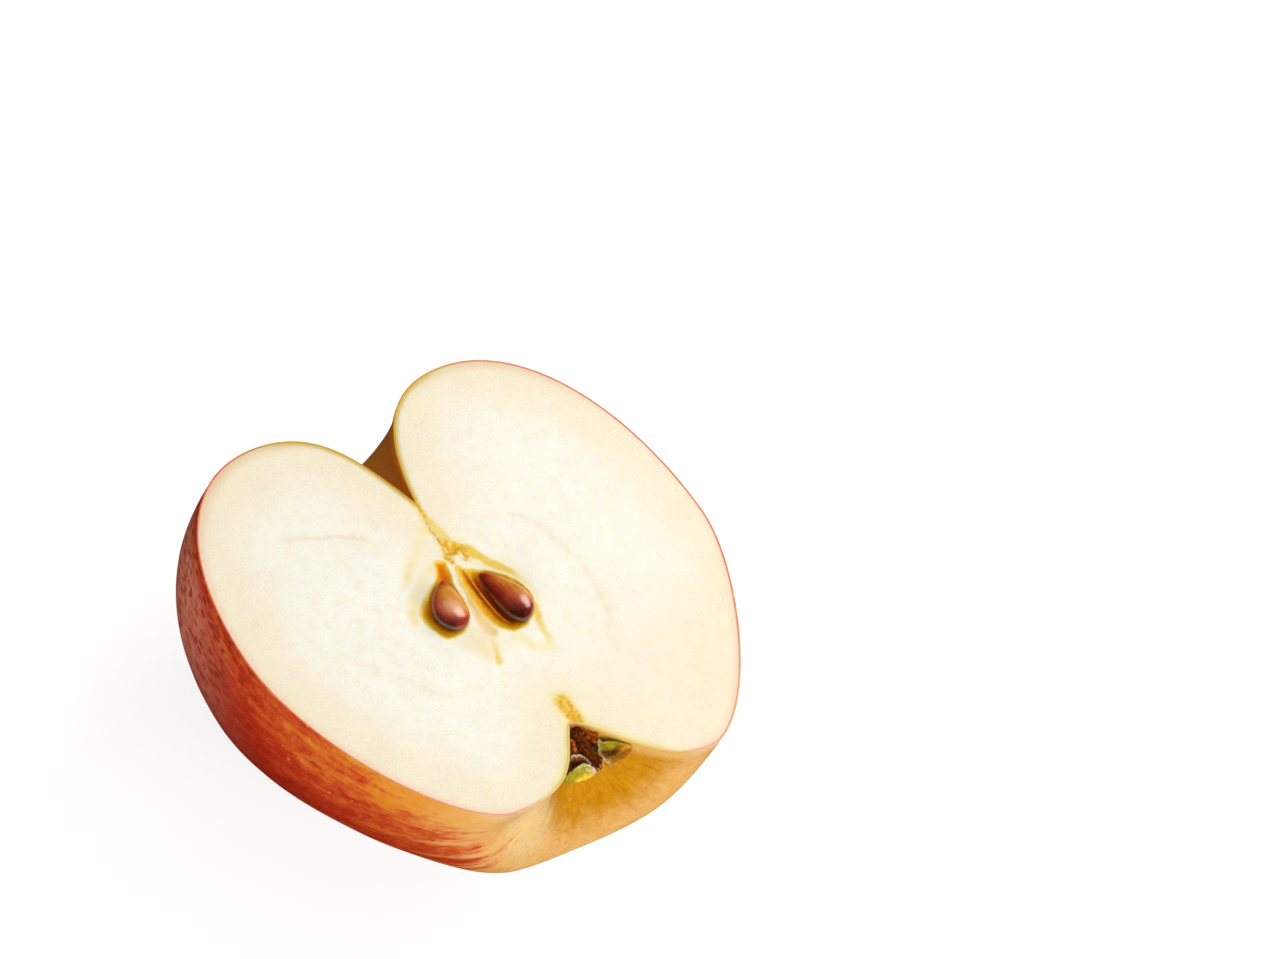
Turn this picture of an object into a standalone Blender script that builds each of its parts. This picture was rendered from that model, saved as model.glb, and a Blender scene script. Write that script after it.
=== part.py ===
"""Half of an apple, cut lengthways through its core and lying on its round back with the cut face up.

The skin is a turned apple profile that changes slowly from side to side and swells into five soft lobes.
The cut face has two open seed pockets with a pip in each, a deep narrow stem hollow at one end and a wide
shallow calyx basin at the other, where three dried sepals stand round the withered stamens.
"""

import math

import bmesh
import bpy
from mathutils import Matrix, Vector

MM = 0.001

# ---------------------------------------------------------------- sizes
# Millimetres. While it is built, the core axis is Y with the stem end at +Y, and the cut face is the plane Z = 0.
# A row of three holds the value on the right of the cut face, on its left, and at the middle of the round back.
WIDEST_RADIUS = (39.44, 36.98, 38.23)
WIDEST_HEIGHT = (-0.26, 3.78, 3.16)
SHOULDER_RADIUS = (16.84, 16.64, 19.40)  # the crest round the stem hollow
SHOULDER_HEIGHT = (33.57, 31.61, 30.30)
BASE_RADIUS = (17.10, 14.83, 21.87)  # the crest round the calyx basin
BASE_HEIGHT = (-32.65, -30.13, -30.31)
STEM_HOLLOW_FLOOR = 15.96
CALYX_FLOOR = -21.78

# How full each stretch of the profile is: a handle's length as a share of the stretch it rounds.
UPPER_SIDE = (0.553, 0.596, 0.567)
SHOULDER_OUT = (0.609, 0.593, 0.570)
LOWER_SIDE = (0.320, 0.439, 0.282)
BASE_OUT = (0.387, 0.373, 0.424)
SHOULDER_IN = (0.484, 0.653, 0.329)
STEM_FLOOR_OUT = (0.136, 0.196, 0.114)
STEM_FLOOR_UP = (0.756, 0.488, 0.267)
BASE_IN = (0.536, 0.673, 0.500)
CALYX_FLOOR_OUT = (0.170, 0.260, 0.180)
CALYX_FLOOR_DOWN = (0.000, 0.617, 0.300)

LOBES = 5
LOBE_SWELL, LOBE_TURN = 0.868, 0.306  # how far the lobes swell, and where the first one stands, in radians
BASE_LOBE_SWELL, BASE_LOBE_TURN = -0.372, 0.191
QUARTER_SKEW = -0.366  # the back is a little fuller towards one side
THIRD_SKEW = 0.361
BASE_SKEW = -0.445

FLAT_SPOT_DEPTH = 0.40  # how much of the back's lowest point is flat, where the half rests

STATIONS = (10, 13, 15, 9)  # steps along stem hollow, upper side, lower side and calyx basin
STEPS_ROUND = 44  # steps round the half turn

# Seed pockets: middle, length, width, depth below the cut face, how far the stem end leans to the right, and how
# much narrower that end is.
POCKETS = {
    "left": dict(middle=(-5.75, 0.75), long=12.0, wide=7.6, deep=2.4, lean=25.0, point=0.34),
    "right": dict(middle=(2.75, -0.85), long=12.8, wide=8.6, deep=2.5, lean=-8.0, point=0.40),
}
# Pips: middle (x, y, z), length, width, thickness, lean of the pointed end to the right, how far the blunt end tips up,
# roll about the length, how pointed the stem end and how blunt the other end is, and how much one side bulges.
PIPS = {
    "left": dict(middle=(-5.67, -0.21, 0.40), long=8.31, wide=5.39, thick=3.4, lean=17.4, tip=5.0, roll=4.0, point=0.995, blunt=1.58, skew=-0.128),
    "right": dict(middle=(3.47, -2.05, 0.40), long=9.19, wide=4.86, thick=3.5, lean=-2.6, tip=4.0, roll=-6.0, point=0.771, blunt=2.45, skew=0.249),
}

# Dried sepals, each a thin cupped leaf: the points its rim passes through, a point inside the rim, and how far the
# middle of the leaf lies from that point.
SEPALS = {
    "left": dict(
        rim=[(-2.1, -26.2, -0.9), (-0.9, -26.3, -1.1), (-0.2, -26.9, -1.7), (-0.3, -28.1, -1.9), (-1.3, -28.0, -1.3), (-2.6, -27.9, -1.1), (-4.2, -28.1, -1.1), (-3.3, -26.9, -0.8)],
        middle=(-2.1, -27.2, -1.2), sink=(-0.15, -0.55, -1.25),
    ),
    "right": dict(
        rim=[(3.3, -25.9, -1.0), (4.4, -26.4, -0.8), (5.8, -27.5, -0.8), (6.2, -28.1, -1.0), (5.4, -28.5, -1.4), (4.0, -28.5, -1.7), (2.9, -28.2, -1.7), (2.8, -26.9, -1.5)],
        middle=(4.4, -27.2, -1.3), sink=(0.25, 0.30, -0.85),
    ),
    "back": dict(
        rim=[(0.7, -25.3, -3.2), (1.9, -25.1, -3.2), (2.9, -25.6, -2.9), (2.8, -26.5, -3.1), (1.9, -26.9, -3.6), (0.9, -26.8, -3.8), (0.3, -26.1, -3.6), (0.3, -25.6, -3.4)],
        middle=(1.6, -26.0, -3.4), sink=(0.0, 0.25, -0.30),
    ),
}
SEPAL_THICK = 0.40
STAMENS = dict(start=(0.75, -24.1, -1.35), end=(1.05, -28.2, -2.15), root=1.5, tip=1.2)


# ---------------------------------------------------------------- the apple's surface
def round_value(row, turn):
    """The value of a right, left and back row at an angle round the core: 0 is right, pi is left."""
    right, left, back = row
    middle = back - (right + left) / 2
    return right * math.cos(turn / 2) ** 2 + left * math.sin(turn / 2) ** 2 + middle * math.sin(turn) ** 2


def bezier(a, b, c, d, t):
    u = 1 - t
    return a * u**3 + 3 * b * t * u * u + 3 * c * t * t * u + d * t**3


def profile(turn, along):
    """(distance from the core, height along it) on the skin. along runs 0 to 1 up the stem hollow, to 2 down to
    the widest line, to 3 down to the base crest and to 4 in to the calyx floor."""
    lobe = math.cos(LOBES * (turn - LOBE_TURN))
    widest = (
        round_value(WIDEST_RADIUS, turn)
        + QUARTER_SKEW * math.sin(2 * turn)
        + THIRD_SKEW * math.sin(3 * turn)
        + LOBE_SWELL * lobe
    )
    waist = round_value(WIDEST_HEIGHT, turn)
    shoulder, top = round_value(SHOULDER_RADIUS, turn), round_value(SHOULDER_HEIGHT, turn)
    base = round_value(BASE_RADIUS, turn) + 0.4 * LOBE_SWELL * lobe
    foot = (
        round_value(BASE_HEIGHT, turn)
        + BASE_SKEW * math.sin(2 * turn)
        - BASE_LOBE_SWELL * math.cos(LOBES * (turn - BASE_LOBE_TURN))
    )
    if along <= 1:
        out = bezier(0, round_value(STEM_FLOOR_OUT, turn) * shoulder, shoulder * (1 - round_value(SHOULDER_IN, turn)), shoulder, along)
        up = bezier(
            STEM_HOLLOW_FLOOR,
            STEM_HOLLOW_FLOOR + round_value(STEM_FLOOR_UP, turn) * (top - STEM_HOLLOW_FLOOR),
            top,
            top,
            along,
        )
    elif along <= 2:
        out = bezier(shoulder, shoulder + round_value(SHOULDER_OUT, turn) * (widest - shoulder), widest, widest, along - 1)
        up = bezier(top, top, waist + round_value(UPPER_SIDE, turn) * (top - waist), waist, along - 1)
    elif along <= 3:
        out = bezier(widest, widest, base + round_value(BASE_OUT, turn) * (widest - base), base, along - 2)
        up = bezier(waist, waist + round_value(LOWER_SIDE, turn) * (foot - waist), foot, foot, along - 2)
    else:
        out = bezier(base, base * (1 - round_value(BASE_IN, turn)), round_value(CALYX_FLOOR_OUT, turn) * base, 0, along - 3)
        up = bezier(foot, foot, CALYX_FLOOR + round_value(CALYX_FLOOR_DOWN, turn) * (foot - CALYX_FLOOR), CALYX_FLOOR, along - 3)
    return out, up


def on_skin(turn, along):
    out, up = profile(turn, along)
    return Vector((out * math.cos(turn), up, -out * math.sin(turn)))


# ---------------------------------------------------------------- helpers
def material(name, colour, roughness):
    made = bpy.data.materials.new(name)
    made.use_nodes = True
    shader = made.node_tree.nodes["Principled BSDF"]
    shader.inputs["Base Color"].default_value = (*colour, 1)
    shader.inputs["Roughness"].default_value = roughness
    shader.inputs["Metallic"].default_value = 0
    made.diffuse_color = (*colour, 1)
    return made


def add_object(name, bm, collection, finish=None):
    bmesh.ops.recalc_face_normals(bm, faces=bm.faces)
    mesh = bpy.data.meshes.new(name)
    bm.to_mesh(mesh)
    bm.free()
    mesh.transform(Matrix.Scale(MM, 4))
    made = bpy.data.objects.new(name, mesh)
    collection.objects.link(made)
    if finish:
        mesh.materials.append(finish)
        mesh.shade_smooth()
        mesh.set_sharp_from_angle(angle=math.radians(50))
    return made


def drop(bm, long, wide, thick, point, segments=20, rings=14):
    """A drop-shaped ball lying along Y, its narrow end at +Y."""
    bmesh.ops.create_uvsphere(bm, u_segments=segments, v_segments=rings, radius=1)
    bmesh.ops.rotate(bm, verts=bm.verts, cent=(0, 0, 0), matrix=Matrix.Rotation(math.radians(-90), 3, "X"))
    for v in bm.verts:
        narrow = 1 - point * (v.co.y + 0.25)
        v.co = Vector((v.co.x * narrow * wide / 2, v.co.y * long / 2, v.co.z * narrow * thick / 2))


def cutter(obj):
    obj.hide_render = True
    obj.display_type = "WIRE"
    return obj


# ---------------------------------------------------------------- pieces
def apple_half(collection, cutters, finish):
    """The half fruit: a profile spun half a turn, each section then given its own shape, closed by the cut face."""
    bm = bmesh.new()
    tag = bm.verts.layers.float.new("along")
    line = []
    for part, steps in enumerate(STATIONS):
        for k in range(steps if part < 3 else steps + 1):
            share = k / steps
            if part == 0:
                share = share**1.15
            along = part + share
            out, up = profile(0, along)
            v = bm.verts.new((out, up, 0))
            v[tag] = along
            line.append(v)
    edges = [bm.edges.new(pair) for pair in zip(line, line[1:])]
    bmesh.ops.spin(bm, geom=line + edges, cent=(0, 0, 0), axis=(0, 1, 0), angle=math.pi, steps=STEPS_ROUND, use_duplicate=False)
    for v in bm.verts:
        turn = math.atan2(-v.co.z, v.co.x) if v.co.xz.length > 1e-6 else 0.0
        v.co = on_skin(min(math.pi, turn if turn > -1e-4 else turn + 2 * math.pi), v[tag])
    bmesh.ops.remove_doubles(bm, verts=bm.verts, dist=1e-3)
    rim = [e for e in bm.edges if e.is_boundary]
    for e in rim:
        for v in e.verts:
            v.co.z = 0.0
    bmesh.ops.contextual_create(bm, geom=rim)
    # The flat spot where it rests on its back.
    lowest = min(v.co.z for v in bm.verts)
    bmesh.ops.bisect_plane(
        bm, geom=bm.verts[:] + bm.edges[:] + bm.faces[:], plane_co=(0, 0, lowest + FLAT_SPOT_DEPTH), plane_no=(0, 0, -1), clear_outer=True
    )
    bmesh.ops.contextual_create(bm, geom=[e for e in bm.edges if e.is_boundary])
    half = add_object("apple_half", bm, collection, finish)
    for side, size in POCKETS.items():
        bm = bmesh.new()
        drop(bm, size["long"], size["wide"], size["deep"] * 2, size["point"], segments=24, rings=14)
        turn = Matrix.Rotation(math.radians(-size["lean"]), 3, "Z")
        bmesh.ops.rotate(bm, verts=bm.verts, cent=(0, 0, 0), matrix=turn)
        bmesh.ops.translate(bm, verts=bm.verts, vec=(*size["middle"], 0))
        tool = cutter(add_object(f"pocket_cutter_{side}", bm, cutters))
        cut = half.modifiers.new(f"pocket_{side}", "BOOLEAN")
        cut.operation = "DIFFERENCE"
        cut.solver = "EXACT"
        cut.object = tool
    return half


def closed_rings(bm, rings, first, last):
    """Joins rings of points, each one loop of a surface, and closes both ends with a point."""
    rings = [[bm.verts.new(p) for p in ring] for ring in rings]
    ends = bm.verts.new(first), bm.verts.new(last)
    n = len(rings[0])
    for low, high in zip(rings, rings[1:]):
        for k in range(n):
            m = (k + 1) % n
            bm.faces.new((low[k], high[k], high[m], low[m]))
    for k in range(n):
        m = (k + 1) % n
        bm.faces.new((ends[0], rings[0][k], rings[0][m]))
        bm.faces.new((ends[1], rings[-1][m], rings[-1][k]))
    bmesh.ops.recalc_face_normals(bm, faces=bm.faces[:])


def pip(side, size, collection, finish):
    """A seed: pointed towards the stem, round at the other end and flatter underneath."""
    count, spokes = 15, 22
    shares = [(1 - math.cos(math.pi * k / (count + 1))) / 2 for k in range(1, count + 1)]
    swell = [t ** (0.8 * size["point"]) * math.sqrt(1 - t ** size["blunt"]) for t in shares]
    most = max(swell)
    long, wide, thick = size["long"], size["wide"], size["thick"]
    rings = []
    for t, r in zip(shares, swell):
        r /= most
        shift = size["skew"] * wide * (t - 0.5) * (1 - t) * 2
        ring = []
        for k in range(spokes):
            a = 2 * math.pi * k / spokes
            up = math.sin(a)
            ring.append((r * math.cos(a) * wide / 2 * (1 + 0.05 * up) + shift, long * (0.56 - t), r**0.92 * up * thick / 2 * (1 if up > 0 else 0.8)))
        rings.append(ring)
    bm = bmesh.new()
    closed_rings(bm, rings, (0, long * 0.56, 0), (0, long * -0.44, 0))
    for angle, axis in ((size["roll"], "Y"), (-size["tip"], "X"), (-size["lean"], "Z")):
        bmesh.ops.rotate(bm, verts=bm.verts, cent=(0, 0, 0), matrix=Matrix.Rotation(math.radians(angle), 3, axis))
    made = add_object(f"pip_{side}", bm, collection, finish)
    made.location = Vector(size["middle"]) * MM
    return made


def rounded_loop(points, per):
    """A smooth closed curve through the points."""
    p = [Vector(q) for q in points]
    out = []
    for i in range(len(p)):
        a, b, c, d = p[i - 1], p[i], p[(i + 1) % len(p)], p[(i + 2) % len(p)]
        for k in range(per):
            t = k / per
            out.append(0.5 * (2 * b + (c - a) * t + (2 * a - 5 * b + 4 * c - d) * t**2 + (3 * b - a - 3 * c + d) * t**3))
    return out


def sepal(side, size, collection, finish):
    """A dried leaf of the calyx: a cup inside its rim, with an outer face and an inner face a little apart."""
    rim = rounded_loop(size["rim"], 3)
    middle, sink = Vector(size["middle"]), Vector(size["sink"])
    away = -sink.normalized()
    rings = []
    steps = (0.25, 0.5, 0.75, 0.92, 1.0)
    for share in steps:
        rings.append([middle + (p - middle) * share + sink * (1 - share**3) for p in rim])
    for share in reversed(steps):
        rings.append([middle + (p - middle) * share + sink * (1 - share**3) - away * SEPAL_THICK for p in rim])
    bm = bmesh.new()
    closed_rings(bm, rings, middle + sink, middle + sink - away * SEPAL_THICK)
    return add_object(f"sepal_{side}", bm, collection, finish)


def stamens(collection, finish):
    """The withered stamens: one tapering, slightly ribbed tuft."""
    start, end = Vector(STAMENS["start"]), Vector(STAMENS["end"])
    bm = bmesh.new()
    bmesh.ops.create_cone(
        bm, cap_ends=True, segments=15, radius1=STAMENS["root"] / 2, radius2=STAMENS["tip"] / 2, depth=(end - start).length
    )
    for v in bm.verts:
        angle = math.atan2(v.co.y, v.co.x)
        v.co.xy *= 1 + 0.14 * math.cos(5 * angle)
    turn = Vector((0, 0, 1)).rotation_difference(end - start).to_matrix()
    bmesh.ops.rotate(bm, verts=bm.verts, cent=(0, 0, 0), matrix=turn)
    bmesh.ops.translate(bm, verts=bm.verts, vec=(start + end) / 2)
    return add_object("stamens", bm, collection, finish)


def main():
    for obj in list(bpy.data.objects):
        bpy.data.objects.remove(obj)
    parts = bpy.data.collections.new("apple_half_parts")
    cutters = bpy.data.collections.new("cutters")
    bpy.context.scene.collection.children.link(parts)
    bpy.context.scene.collection.children.link(cutters)

    fruit = material("apple", (0.90, 0.82, 0.60), 0.45)
    brown = material("pip", (0.30, 0.085, 0.025), 0.25)
    green = material("sepal", (0.40, 0.36, 0.12), 0.7)
    dark = material("stamens", (0.09, 0.035, 0.012), 0.8)

    half = apple_half(parts, cutters, fruit)
    pieces = [half]
    pieces += [pip(side, size, parts, brown) for side, size in PIPS.items()]
    pieces += [sepal(side, size, parts, green) for side, size in SEPALS.items()]
    pieces.append(stamens(parts, dark))

    # Set the half down: its flat spot at Z = 0, and the middle of its box over the origin.
    xs = [v.co.x for v in half.data.vertices]
    ys = [v.co.y for v in half.data.vertices]
    zs = [v.co.z for v in half.data.vertices]
    stand = bpy.data.objects.new("stand", None)
    parts.objects.link(stand)
    stand.location = (-(min(xs) + max(xs)) / 2, -(min(ys) + max(ys)) / 2, -min(zs))
    for obj in pieces + list(cutters.objects):
        obj.parent = stand


main()
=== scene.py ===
import math

import bpy
import numpy as np
from mathutils import Matrix, Vector, noise


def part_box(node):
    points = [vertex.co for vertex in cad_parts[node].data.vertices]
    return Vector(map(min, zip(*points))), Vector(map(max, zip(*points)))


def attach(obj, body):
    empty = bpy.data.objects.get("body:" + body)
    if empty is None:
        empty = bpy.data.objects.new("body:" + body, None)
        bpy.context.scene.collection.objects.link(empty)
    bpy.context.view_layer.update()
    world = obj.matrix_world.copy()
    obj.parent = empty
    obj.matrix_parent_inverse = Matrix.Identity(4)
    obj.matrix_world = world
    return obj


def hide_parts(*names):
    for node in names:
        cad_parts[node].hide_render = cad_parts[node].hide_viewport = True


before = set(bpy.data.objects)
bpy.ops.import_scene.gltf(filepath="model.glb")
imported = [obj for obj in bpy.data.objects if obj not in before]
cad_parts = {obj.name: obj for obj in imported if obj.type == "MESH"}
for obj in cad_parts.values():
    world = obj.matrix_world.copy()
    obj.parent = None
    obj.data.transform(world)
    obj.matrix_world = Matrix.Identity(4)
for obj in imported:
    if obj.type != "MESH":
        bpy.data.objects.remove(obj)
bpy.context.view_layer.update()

# ================================================================ sizes (mm; core axis on Y, stem end at +Y, cut face at Z = 0)
MM = 0.001
CUT_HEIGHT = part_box("apple_half")[1].z / MM  # the cut face's height in the part's frame
CORE_X, CORE_Y = -1.147, -0.448  # where the core's zero stands in the part's frame

# right of the cut face, left of it, middle of the round back
WIDEST_RADIUS = (39.44, 36.98, 38.23)
WIDEST_HEIGHT = (-0.26, 3.78, 3.16)
SHOULDER_RADIUS = (16.84, 16.64, 19.40)
SHOULDER_HEIGHT = (33.57, 31.61, 30.30)
BASE_RADIUS = (17.10, 14.83, 21.87)
BASE_HEIGHT = (-32.65, -30.13, -30.31)
STEM_HOLLOW_FLOOR = 15.96
CALYX_FLOOR = -21.78
UPPER_SIDE = (0.553, 0.596, 0.567)
SHOULDER_OUT = (0.609, 0.593, 0.570)
LOWER_SIDE = (0.320, 0.439, 0.282)
BASE_OUT = (0.387, 0.373, 0.424)
SHOULDER_IN = (0.484, 0.653, 0.329)
STEM_FLOOR_OUT = (0.136, 0.196, 0.114)
STEM_FLOOR_UP = (0.756, 0.488, 0.267)
BASE_IN = (0.536, 0.673, 0.500)
CALYX_FLOOR_OUT = (0.170, 0.260, 0.180)
CALYX_FLOOR_DOWN = (0.000, 0.617, 0.300)
LOBES = 5
LOBE_SWELL, LOBE_TURN = 0.868, 0.306
BASE_LOBE_SWELL, BASE_LOBE_TURN = -0.372, 0.191
QUARTER_SKEW, THIRD_SKEW, BASE_SKEW = -0.366, 0.361, -0.445

SKIN_THICK = 0.26
FLESH_INSET = 0.13  # the flesh reaches half way into the skin, so no gap shows
FLESH_DROP = 0.035  # and its cut face lies this far under the skin's cut edge


def srgb(r, g, b):
    """Colour as seen (0 to 255) to the linear colour that a shader takes."""
    return tuple(c / 12.92 if c <= 0.04045 else ((c + 0.055) / 1.055) ** 2.4 for c in (r / 255, g / 255, b / 255))


# ================================================================ the apple's surface
def round_value(row, turn):
    right, left, back = row
    return right * np.cos(turn / 2) ** 2 + left * np.sin(turn / 2) ** 2 + (back - (right + left) / 2) * np.sin(turn) ** 2


def bezier(a, b, c, d, t):
    u = 1 - t
    return a * u**3 + 3 * b * t * u * u + 3 * c * t * t * u + d * t**3


def on_skin(turn, along):
    """Points of the skin: turn goes 0 (right) to pi (left) round the core, along goes 0 (floor of the stem hollow) to 1
    (shoulder), 2 (widest), 3 (base crest) and 4 (calyx)."""
    turn, along = np.broadcast_arrays(np.asarray(turn, float), np.asarray(along, float))
    lobe = np.cos(LOBES * (turn - LOBE_TURN))
    wide = round_value(WIDEST_RADIUS, turn) + QUARTER_SKEW * np.sin(2 * turn) + THIRD_SKEW * np.sin(3 * turn) + LOBE_SWELL * lobe
    waist = round_value(WIDEST_HEIGHT, turn)
    sh, top = round_value(SHOULDER_RADIUS, turn), round_value(SHOULDER_HEIGHT, turn)
    base = round_value(BASE_RADIUS, turn) + 0.4 * LOBE_SWELL * lobe
    foot = round_value(BASE_HEIGHT, turn) + BASE_SKEW * np.sin(2 * turn) - BASE_LOBE_SWELL * np.cos(LOBES * (turn - BASE_LOBE_TURN))
    t = [np.clip(along - k, 0, 1) for k in range(4)]
    out = [
        bezier(0, round_value(STEM_FLOOR_OUT, turn) * sh, sh * (1 - round_value(SHOULDER_IN, turn)), sh, t[0]),
        bezier(sh, sh + round_value(SHOULDER_OUT, turn) * (wide - sh), wide, wide, t[1]),
        bezier(wide, wide, base + round_value(BASE_OUT, turn) * (wide - base), base, t[2]),
        bezier(base, base * (1 - round_value(BASE_IN, turn)), round_value(CALYX_FLOOR_OUT, turn) * base, 0, t[3]),
    ]
    up = [
        bezier(STEM_HOLLOW_FLOOR, STEM_HOLLOW_FLOOR + round_value(STEM_FLOOR_UP, turn) * (top - STEM_HOLLOW_FLOOR), top, top, t[0]),
        bezier(top, top, waist + round_value(UPPER_SIDE, turn) * (top - waist), waist, t[1]),
        bezier(waist, waist + round_value(LOWER_SIDE, turn) * (foot - waist), foot, foot, t[2]),
        bezier(foot, foot, CALYX_FLOOR + round_value(CALYX_FLOOR_DOWN, turn) * (foot - CALYX_FLOOR), CALYX_FLOOR, t[3]),
    ]
    pick = [along <= 1, along <= 2, along <= 3]
    rho, y = np.select(pick, out[:3], out[3]), np.select(pick, up[:3], up[3])
    return np.stack([rho * np.cos(turn), y, -rho * np.sin(turn)], -1)


def skin_normal(turn, along):
    turn, along = np.broadcast_arrays(np.asarray(turn, float), np.asarray(along, float))
    lo, hi = np.clip(along - 0.004, 0.02, 3.98), np.clip(along + 0.004, 0.03, 3.99)
    down = on_skin(turn, hi) - on_skin(turn, lo)
    middle = (lo + hi) / 2
    roundwise = on_skin(turn + 0.004, middle) - on_skin(turn - 0.004, middle)
    n = np.cross(down, roundwise)
    return n / np.maximum(np.linalg.norm(n, axis=-1, keepdims=True), 1e-12)


FLAT_LEVEL = -CUT_HEIGHT  # the flat spot's height


def inset_skin(turn, along, inset):
    turn, along = np.broadcast_arrays(np.asarray(turn, float), np.asarray(along, float))
    p = on_skin(turn, along) - skin_normal(turn, along) * np.asarray(inset)[..., None]
    at_cut = (turn < 1e-9) | (turn > math.pi - 1e-9)
    p[..., 2] = np.where(at_cut, 0.0, np.minimum(p[..., 2], 0.0))
    p[..., 2] = np.maximum(p[..., 2], FLAT_LEVEL + np.asarray(inset))
    return p


# ================================================================ mesh helpers
def row_frame(p):
    """Apple millimetres to the part's frame in metres."""
    return (np.asarray(p, float) + [CORE_X, CORE_Y, CUT_HEIGHT]) * MM


def make_piece(name, points, faces, sharp=None):
    mesh = bpy.data.meshes.new(name)
    mesh.from_pydata(row_frame(points).tolist(), [], faces)
    mesh.update()
    mesh.validate()
    obj = bpy.data.objects.new(name, mesh)
    bpy.context.scene.collection.objects.link(obj)
    tri_volume = 0.0
    co = np.array([v.co for v in mesh.vertices])
    mesh.calc_loop_triangles()
    tri = np.array([t.vertices for t in mesh.loop_triangles])
    a, b, c = co[tri[:, 0]], co[tri[:, 1]], co[tri[:, 2]]
    tri_volume = np.einsum("ij,ij->i", a, np.cross(b, c)).sum()
    if tri_volume < 0:
        mesh.flip_normals()
    mesh.shade_smooth()
    if sharp:
        mesh.set_sharp_from_angle(angle=math.radians(sharp))
    return obj


def sharp_rim(obj, ids):
    """Marks the edges between these points as sharp, so the cut face and the sides don't shade into each other."""
    mesh = obj.data
    rim = np.zeros(len(mesh.vertices), bool)
    rim[np.asarray(ids, int)] = True
    ends = np.zeros(len(mesh.edges) * 2, int)
    mesh.edges.foreach_get("vertices", ends)
    ends = ends.reshape(-1, 2)
    mark = mesh.attributes.get("sharp_edge") or mesh.attributes.new("sharp_edge", "BOOLEAN", "EDGE")
    old = np.zeros(len(mesh.edges), bool)
    mark.data.foreach_get("value", old)
    mark.data.foreach_set("value", old | rim[ends].all(1))


def attribute(obj, name, values):
    values = np.asarray(values, np.float32)
    if values.ndim == 1:
        a = obj.data.attributes.new(name, "FLOAT", "POINT")
        a.data.foreach_set("value", values)
    else:
        a = obj.data.attributes.new(name, "FLOAT_VECTOR", "POINT")
        a.data.foreach_set("vector", values.ravel())


def smooth(lo, hi, x):
    t = np.clip((np.asarray(x, float) - lo) / (hi - lo), 0, 1)
    return t * t * (3 - 2 * t)


def wobble(points, size, octaves=3, seed=0.0):
    """Smooth noise of about -1 to 1 at each point, with features of that size in mm."""
    p = np.asarray(points, float)
    if p.shape[1] == 2:
        p = np.column_stack([p, np.zeros(len(p))])
    total = np.zeros(len(p))
    gain = 1.0
    for k in range(octaves):
        q = p * (2**k / size) + seed + 17.3 * k
        total += gain * np.fromiter((noise.noise(v) for v in q.tolist()), float, len(q))
        gain *= 0.5
    return total * 1.2


def smooth_loop(points, per=10):
    """A closed Catmull-Rom curve through the named points."""
    p = np.array(points, float)
    n = len(p)
    t = np.linspace(0, 1, per, endpoint=False)[:, None]
    out = []
    for i in range(n):
        a, b, c, d = p[i - 1], p[i], p[(i + 1) % n], p[(i + 2) % n]
        out.append(0.5 * (2 * b + (c - a) * t + (2 * a - 5 * b + 4 * c - d) * t**2 + (3 * b - a - 3 * c + d) * t**3))
    return np.concatenate(out)


def smooth_path(points, per=10):
    p = np.array(points, float)
    p = np.vstack([2 * p[0] - p[1], p, 2 * p[-1] - p[-2]])
    t = np.linspace(0, 1, per, endpoint=False)[:, None]
    out = []
    for i in range(1, len(p) - 2):
        a, b, c, d = p[i - 1], p[i], p[i + 1], p[i + 2]
        out.append(0.5 * (2 * b + (c - a) * t + (2 * a - 5 * b + 4 * c - d) * t**2 + (3 * b - a - 3 * c + d) * t**3))
    return np.vstack(out + [p[-2][None]])


def distance_to(xy, line):
    """Distance from each point to a polyline, and how far along it (0 to 1) the nearest place is."""
    best = np.full(len(xy), 1e9)
    where = np.zeros(len(xy))
    count = len(line) - 1
    for i in range(count):
        a, b = line[i], line[i + 1]
        ab = b - a
        t = np.clip(((xy - a) @ ab) / max(ab @ ab, 1e-12), 0, 1)
        d = np.linalg.norm(xy - (a + t[:, None] * ab), axis=1)
        near = d < best
        best = np.where(near, d, best)
        where = np.where(near, (i + t) / count, where)
    return best, where


def inside_distance(xy, loop):
    """Distance to a closed curve, positive inside it."""
    closed = np.vstack([loop, loop[:1]])
    d, _ = distance_to(xy, closed)
    inside = np.zeros(len(xy), bool)
    x, y = xy[:, 0], xy[:, 1]
    for a, b in zip(closed[:-1], closed[1:]):
        crosses = (a[1] > y) != (b[1] > y)
        with np.errstate(divide="ignore", invalid="ignore"):
            at = (b[0] - a[0]) * (y - a[1]) / (b[1] - a[1]) + a[0]
        inside ^= crosses & (x < at)
    return np.where(inside, d, -d)


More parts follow.
